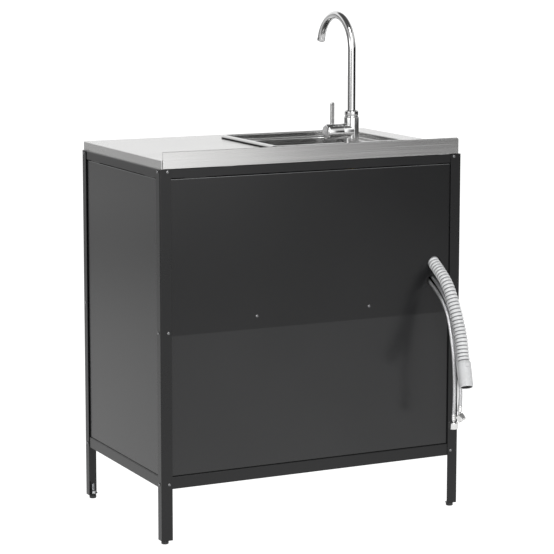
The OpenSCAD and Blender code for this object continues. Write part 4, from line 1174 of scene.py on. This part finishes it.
def make_sink():
    """Drop-in bowl pressed from one sheet: rolled rim, upper wall, ledge, lower bowl with a waste opening."""
    lbx, lby, lbr = 148.5, 143.0, 82.0
    top = []
    # (offset outwards from the upper opening, height), outside of the rim first
    top += arc2((9.5, TOP_Z + 3.5), 5.45, 0, 90, 8)
    top += [(9.1, RIM_Z - 0.05), (3.4, RIM_Z - 0.05)]
    top += arc2((3.0, RIM_Z - 3.05), 3.0, 90, 180, 6)
    top += [(0.0, RIM_Z - 3.6), (0.35, LEDGE_Z + 2.6)]
    top = [(x, z) for x, z in top]
    top += arc2((-1.65, LEDGE_Z + 2.0), 2.0, 0, -90, 5)
    rings = [rr_ring(WLX + x, WLY + x, max(1.2, WLR + x), z, 12, 8) for x, z in top]
    low = [(2.6, LEDGE_Z)]
    low += arc2((2.4, LEDGE_Z - 2.4), 2.4, 90, 180, 5)
    low += [(0.0, LEDGE_Z - 3.0), (-1.4, FLOOR_Z + 17.0)]
    low += arc2((-16.4, FLOOR_Z + 15.0), 15.0, 0, -90, 9)
    low += [(-17.2, FLOOR_Z)]
    rings += [rr_ring(lbx + x, lby + x, lbr + x, z, 12, 8) for x, z in low]
    # flat floor, then the waste opening
    n = len(rings[0])
    base = rings[-1]

    def to_circle(r, z, w):
        out = []
        for x, y, _ in base:
            a = math.atan2(y, x)
            c = (r * math.cos(a), r * math.sin(a))
            out.append((x + (c[0] - x) * w, y + (c[1] - y) * w, z))
        return out

    rings += [to_circle(58.0, FLOOR_Z, 0.5), to_circle(58.0, FLOOR_Z, 1.0), to_circle(43.0, FLOOR_Z, 1.0)]
    g = loft(rings)
    me = bpy.data.meshes.new("sink_surface")
    me.from_pydata([(x * MM, y * MM, z * MM) for x, y, z in g.v], [], g.f)
    bm = bmesh.new()
    bm.from_mesh(me)
    bmesh.ops.recalc_face_normals(bm, faces=bm.faces)
    # the seen side faces up
    up = sum(f.normal.z * f.calc_area() for f in bm.faces)
    if up < 0:
        bmesh.ops.reverse_faces(bm, faces=bm.faces)
    for f in bm.faces:
        f.smooth = True
    bm.to_mesh(me)
    bm.free()
    me.transform(Matrix.Translation((SX * MM, (SY + OY) * MM, 0)))
    o = bpy.data.objects.new("sink_bowl_pressing", me)
    scene.collection.objects.link(o)
    sol = o.modifiers.new("thick", "SOLIDIFY")
    sol.thickness = 0.0009
    sol.offset = -1.0
    sol.use_even_offset = True
    bpy.context.view_layer.update()
    new = bpy.data.meshes.new_from_object(o.evaluated_get(bpy.context.evaluated_depsgraph_get()))
    o.modifiers.clear()
    o.data = new
    new.materials.append(STEEL_SINK)
    resharp(o, 50)
    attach(o, "cabinet")
    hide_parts("sink_bowl")
    return o


sink = make_sink()


def make_waste():
    at = Matrix.Translation((SX, SY, 0))
    prof, _ = fillet([(40, FLOOR_Z + 1.9), (54, FLOOR_Z + 1.5), (55.9, FLOOR_Z + 0.05), (41.5, FLOOR_Z + 0.05), (41.5, FLOOR_Z - 35), (23, FLOOR_Z - 35),
                      (23, FLOOR_Z - 61), (19, FLOOR_Z - 61), (19, FLOOR_Z - 33), (40, FLOOR_Z - 33)], [1.8, 0.9, 0.4, 0, 2.5, 1, 0.5, 0.5, 1.5, 1.5], 4)
    return lathe(prof, 96, at=at).make("waste_cup_turned", TAP_STEEL_OBJ, "cabinet", "waste_cup", "brushed_stainless")


make_waste()

# ------------------------------------------------------------------ tap

CART_Z, BODY_Z = TOP_Z + 45.0, TOP_Z + 80.5
ARCH_R, ARCH_Z, ARCH_A, SPOUT_R, LEVER_X = 86.0, 1227.0, 164.0, 10.0, 56.0
TAP = Matrix.Translation((TX, TY, 0))
X_AXIS = axes((0, 0, 0), (0, 1, 0), (0, 0, 1), (1, 0, 0))


def make_tap():
    ring, _ = fillet([(15.1, TOP_Z), (22, TOP_Z), (22, TOP_Z + 1.6), (20.6, TOP_Z + 3), (15.1, TOP_Z + 3)], [0, 0.2, 0.8, 0.9, 0], 4)
    lathe(ring, 96, at=TAP).make("tap_base_ring_turned", TAP_STEEL, "cabinet", "tap_base_ring", "tap_steel")
    # body: column and side housing
    col = lathe(cyl_profile(19.0, TOP_Z + 3.05, BODY_Z, 0.7, 4), 96, at=TAP, closed=False)
    house = cyl_profile(20.0, 2.0, 30.0, 0.6, 4)
    a = col.make("tap_body_casting", TAP_BODY, None)
    b = lathe(house, 96, at=TAP @ Matrix.Translation((0, 0, CART_Z)) @ X_AXIS, closed=False).make("tap_house", TAP_BODY, None)
    md = a.modifiers.new("join", "BOOLEAN")
    md.operation, md.solver, md.object = "UNION", "EXACT", b
    bpy.context.view_layer.update()
    me = bpy.data.meshes.new_from_object(a.evaluated_get(bpy.context.evaluated_depsgraph_get()))
    a.modifiers.clear()
    a.data = me
    bpy.data.objects.remove(b)
    me.materials.clear()
    me.materials.append(TAP_BODY)
    resharp(a, 30)
    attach(a, "cabinet")
    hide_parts("tap_body")
    # cap, with the slot for the lever
    cap, _ = fillet([(17.5, 30.3), (20, 30.3), (20, 76), (0, 76), (0, 71), (17.5, 71)], [0.2, 0.5, 6.0, 0, 0, 0.5], 7)
    c = lathe(cap, 96, at=TAP @ Matrix.Translation((0, 0, CART_Z)) @ X_AXIS).make("tap_cap_turned", TAP_STEEL, None)
    slot, arc = fillet([(LEVER_X - 5.8, -3.3), (LEVER_X + 12.8, -3.3), (LEVER_X + 12.8, 3.3), (LEVER_X - 5.8, 3.3)], [1.5] * 4, 4)
    t = prism(slot, arc, 0, 30, None, TAP @ Matrix.Translation((0, 0, CART_Z))).make("cut_tool", [], body=None)
    solid_cut(c, [t])
    resharp(c, 30)
    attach(c, "tap_control")
    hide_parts("tap_cap")
    # lever: flat bar with rounded edges and a rounded tip
    lev = [(-5, -6), (5, -6), (5, 74.6), (-5, 76)]
    pts, arc = fillet(lev, [3, 3, 4.2, 2.6], 8)
    g = prism(pts, arc, -3, 3, None, TAP @ axes((LEVER_X, 0, CART_Z), (1, 0, 0), (0, 0, 1), (0, -1, 0)))
    o = g.make("tap_lever_bar", TAP_STEEL_OBJ, None)
    bv = o.modifiers.new("edge", "BEVEL")
    bv.width, bv.segments, bv.limit_method, bv.angle_limit = 0.0011, 3, "ANGLE", math.radians(50)
    bpy.context.view_layer.update()
    me = bpy.data.meshes.new_from_object(o.evaluated_get(bpy.context.evaluated_depsgraph_get()))
    o.modifiers.clear()
    o.data = me
    me.materials.clear()
    me.materials.append(TAP_STEEL_OBJ)
    resharp(o, 50)
    for f in me.polygons:
        f.use_smooth = abs(f.normal.y) < 0.999
    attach(o, "tap_lever_arm")
    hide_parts("tap_lever")
    # spout: collar and bent tube
    b0 = BODY_Z
    collar, _ = fillet([(8.5, b0 + 0.25), (17.5, b0 + 0.25), (17.5, b0 + 2.8), (16.4, b0 + 3.2), (16.4, b0 + 4.7), (17.5, b0 + 5.1), (17.5, b0 + 15.4),
                        (14.6, b0 + 18.5), (8.5, b0 + 18.5)], [0, 0.3, 0.3, 0.2, 0.2, 0.4, 1.6, 0.8, 0], 4)
    g = lathe(collar, 96, at=TAP)
    path = [Vector((0, 0, b0 + 16 + (ARCH_Z - b0 - 16) * k / 30)) for k in range(31)]
    for k in range(1, 83):
        th = math.radians(ARCH_A) * k / 82
        path.append(Vector((0, -ARCH_R + ARCH_R * math.cos(th), ARCH_Z + ARCH_R * math.sin(th))))
    sweep(path, SPOUT_R, 64, g, at=TAP)
    neck = [(SPOUT_R - 1.5, b0 - 12.3), (SPOUT_R + 1, b0 - 12.3), (SPOUT_R + 1, b0 + 0.2), (SPOUT_R - 1.5, b0 + 0.2)]
    lathe(neck, 48, g, TAP)
    g.make("tap_spout_tube", TAP_STEEL, "spout", "tap_spout", "tap_steel", sharp=32)
    # aerator: ring with a recessed mesh
    th = math.radians(ARCH_A)
    end = Vector((0, -ARCH_R + ARCH_R * math.cos(th), ARCH_Z + ARCH_R * math.sin(th)))
    direction = Vector((0, -math.sin(th), math.cos(th)))
    at = TAP @ aim(end, direction)
    prof, _ = fillet([(0, 0.05), (SPOUT_R + 0.2, 0.05), (SPOUT_R + 0.2, 0.8), (SPOUT_R + 0.55, 1.2), (SPOUT_R + 0.55, 8.4), (SPOUT_R - 0.2, 9.95), (8.4, 9.95), (8.0, 9.4),
                      (8.0, 6.4), (0, 6.4)], [0, 0.1, 0.1, 0.2, 0.5, 0.4, 0.2, 0.2, 0, 0], 3, closed=False)
    g = lathe(prof, 72, at=at, closed=False)
    for k in range(-3, 4):
        for j in range(-3, 4):
            x, y = k * 2.1, j * 2.1
            if math.hypot(x, y) < 7.2:
                lathe([(0.0, 6.9), (0.55, 6.9), (0.72, 6.4), (0.0, 6.4)], 10, g, at @ Matrix.Translation((x, y, 0)), closed=False, mat=1)
    g.make("tap_aerator_ring", [TAP_STEEL, WHITE_PLASTIC], "spout", "tap_aerator", "tap_steel")


make_tap()

# ------------------------------------------------------------------ nodes that keep their CAD shape


def dress(node, material, bevel=0.0003, sharp=35.0):
    """A CAD node with a better material; small edges are rounded by modifiers, so the node's own mesh stays as it is."""
    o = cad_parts[node]
    me = o.data
    if not me.materials:
        me.materials.append(material)
    for i in range(len(me.materials)):
        me.materials[i] = material
    if bevel:
        w = o.modifiers.new("weld", "WELD")
        w.merge_threshold = 1e-6
        b = o.modifiers.new("edge", "BEVEL")
        b.width, b.segments, b.limit_method, b.angle_limit = bevel, 2, "ANGLE", math.radians(sharp)
        b.use_clamp_overlap = True
        b.harden_normals = True
    return o


for n, m, bv in (("foot_nuts", ZINC, 0.0004), ("frame_nuts", ZINC, 0.0003), ("panel_spacers", ZINC, 0.0), ("hinge_frame_leaves", SATIN, 0.0003),
                 ("hinge_door_leaves_left", SATIN, 0.0003), ("hinge_door_leaves_right", SATIN, 0.0003), ("hinge_pins", ZINC, 0.0004),
                 ("magnet_catches", WHITE_PLASTIC, 0.0005), ("strike_plate_left", ZINC, 0.0003), ("strike_plate_right", ZINC, 0.0003),
                 ("worktop_braces", ZINC, 0.0), ("sink_seal", RUBBER, 0.0), ("sink_clips", ZINC, 0.0003), ("waste_locknut", WHITE_PLASTIC, 0.0008),
                 ("strainer_basket", TAP_STEEL_OBJ, 0.0002), ("trap_body", WHITE_PLASTIC, 0.0006), ("drain_hose_nut", WHITE_PLASTIC, 0.0008),
                 ("tap_cartridge", WHITE_PLASTIC, 0.0003), ("tap_stem", SATIN, 0.0003), ("tap_shank", BRASS, 0.0004), ("tap_mount_nut", BRASS, 0.0006)):
    dress(n, m, bv)

# ------------------------------------------------------------------ floor, light, world


# what the metal and the coat reflect, by the angle round the object in degrees from +Y towards -X
HIGH = [(-180, 1.38), (-160, 1.3), (-150, 0.15), (-104, 0.12), (-96, 1.5), (-54, 1.5), (-47, 0.15), (-29, 0.15), (-27, 1.9), (14, 1.9), (23.5, 2.0), (26.8, 0.03), (44, 0.03), (56, 0.4), (100, 0.45), (150, 1.24), (180, 1.38)]
BELT = [(-180, 1.2), (-130, 1.1), (-105, 0.6), (-42, 0.7), (-27, 1.5), (0, 1.9), (23, 1.95), (27, 0.8), (100, 0.75), (150, 1.1), (180, 1.2)]
FRONT = [(-180, 0.2), (-165, 0.36), (-146, 0.36), (-139, 0.0), (-100, 0.0), (-94, 0.4), (-42, 0.45), (-39, 0.12), (-29, 0.12), (-27, 1.0), (23.6, 1.0), (26.6, 0.03), (60, 0.0), (180, 0.0)]
# floor's brightness by the distance from the object in metres, away from the front and in front
NEAR = [(0.0, 1.0), (0.9, 0.95), (1.75, 0.88), (2.6, 0.83), (3.5, 0.76), (4.3, 0.62), (5.6, 0.5), (6.9, 0.42), (7.6, 0.06), (14.0, 0.05)]
NEAR_FRONT = [(0.0, 1.0), (0.9, 1.0), (1.75, 0.95), (2.6, 0.85), (3.5, 0.7), (5.0, 0.5), (5.9, 0.6), (6.7, 1.6), (14.0, 1.6)]


def strip(nt, fac, stops, lo, hi):
    """A value by a list of (position, value), through a colour ramp."""
    n = nt.nodes.new("ShaderNodeValToRGB")
    while len(n.color_ramp.elements) < len(stops):
        n.color_ramp.elements.new(0.5)
    for el, (p, v) in zip(n.color_ramp.elements, stops):
        el.position = (p - lo) / (hi - lo)
        el.color = (v / 2, v / 2, v / 2, 1.0)
    nt.links.new(fac, n.inputs["Fac"])
    return calc(nt, "MULTIPLY", n.outputs["Color"], 2.0)


def calc(nt, op, a, b=0.0, c=0.0):
    n = nt.nodes.new("ShaderNodeMath")
    n.operation = op
    for i, x in enumerate((a, b, c)):
        if isinstance(x, (int, float)):
            n.inputs[i].default_value = x
        else:
            nt.links.new(x, n.inputs[i])
    return n.outputs[0]


def around(nt, vector):
    sp = nt.nodes.new("ShaderNodeSeparateXYZ")
    nt.links.new(vector, sp.inputs[0])
    a = calc(nt, "ARCTAN2", calc(nt, "MULTIPLY", sp.outputs["X"], -1.0), sp.outputs["Y"])
    return sp, calc(nt, "MULTIPLY_ADD", a, 0.5 / math.pi, 0.5)


def blend(nt, fac, a, b):
    """a where fac is 0, b where it is 1."""
    return calc(nt, "ADD", calc(nt, "MULTIPLY", a, calc(nt, "SUBTRACT", 1.0, fac)), calc(nt, "MULTIPLY", b, fac))


def make_floor():
    me = bpy.data.meshes.new("floor")
    s = 14.0
    me.from_pydata([(-s, -s, 0), (s, -s, 0), (s, s, 0), (-s, s, 0)], [], [(0, 1, 2, 3)])
    o = bpy.data.objects.new("floor", me)
    scene.collection.objects.link(o)
    m = bpy.data.materials.new("studio_floor")
    m.use_nodes = True
    nt = m.node_tree
    nt.nodes.clear()
    out = nt.nodes.new("ShaderNodeOutputMaterial")
    tc = nt.nodes.new("ShaderNodeTexCoord")
    sp, p = around(nt, tc.outputs["Object"])
    ln = nt.nodes.new("ShaderNodeVectorMath")
    ln.operation = "LENGTH"
    nt.links.new(tc.outputs["Object"], ln.inputs[0])
    r = calc(nt, "DIVIDE", ln.outputs["Value"], 14.0)
    level = blend(nt, strip(nt, p, FRONT, -180, 180), strip(nt, r, NEAR, 0, 14), strip(nt, r, NEAR_FRONT, 0, 14))
    lp = nt.nodes.new("ShaderNodeLightPath")
    em = nt.nodes.new("ShaderNodeEmission")
    em.inputs["Color"].default_value = (1, 1, 1, 1)
    nt.links.new(blend(nt, lp.outputs["Is Camera Ray"], level, calc(nt, "ADD", FLOOR_WHITE, 0.0)), em.inputs["Strength"])
    nt.links.new(em.outputs[0], out.inputs["Surface"])
    me.materials.append(m)
    return o


FLOOR_WHITE = 1.15
KEY_W, FILL_W, TOP_W = 44.0, 8.0, 16.0


def make_world():
    w = bpy.data.worlds.new("studio")
    scene.world = w
    w.use_nodes = True
    nt = w.node_tree
    bg = nt.nodes["Background"]
    bg.inputs["Color"].default_value = (1, 1, 1, 1)
    lp = nt.nodes.new("ShaderNodeLightPath")
    tc = nt.nodes.new("ShaderNodeTexCoord")
    sp, p = around(nt, tc.outputs["Generated"])
    high = strip(nt, p, HIGH, -180, 180)
    low = calc(nt, "MULTIPLY", strip(nt, p, FRONT, -180, 180), 1.6)
    up = nt.nodes.new("ShaderNodeMapRange")
    up.inputs["From Min"].default_value = -0.01
    up.inputs["From Max"].default_value = 0.06
    nt.links.new(sp.outputs["Z"], up.inputs["Value"])
    top = nt.nodes.new("ShaderNodeMapRange")
    top.inputs["From Min"].default_value = 0.6
    top.inputs["From Max"].default_value = 0.72
    nt.links.new(sp.outputs["Z"], top.inputs["Value"])
    belt = nt.nodes.new("ShaderNodeMapRange")
    belt.inputs["From Min"].default_value = 0.2
    belt.inputs["From Max"].default_value = 0.3
    nt.links.new(sp.outputs["Z"], belt.inputs["Value"])
    level = blend(nt, belt.outputs["Result"], blend(nt, up.outputs["Result"], low, high), strip(nt, p, BELT, -180, 180))
    level = blend(nt, top.outputs["Result"], level, calc(nt, "ADD", 0.1, 0.0))
    nt.links.new(blend(nt, lp.outputs["Is Camera Ray"], level, calc(nt, "ADD", 1.3, 0.0)), bg.inputs["Strength"])


def area(name, at, target, size, watts, size_y=None):
    d = bpy.data.lights.new(name, "AREA")
    d.energy = watts
    d.size = size
    if size_y:
        d.shape = "RECTANGLE"
        d.size_y = size_y
    o = bpy.data.objects.new(name, d)
    scene.collection.objects.link(o)
    o.location = at
    o.rotation_mode = "QUATERNION"
    o.rotation_quaternion = (Vector(target) - Vector(at)).to_track_quat("-Z", "Y")
    return o


make_floor()
make_world()
area("key", (0.9, 3.9, 2.1), (0, 0, 0.7), 1.2, KEY_W, 2.2)
area("fill", (2.8, 1.2, 1.6), (0, 0, 0.6), 1.4, FILL_W)
area("top", (0.2, 1.5, 2.9), (0, 0, 0.8), 1.0, TOP_W)
scene.view_settings.view_transform = "Standard"
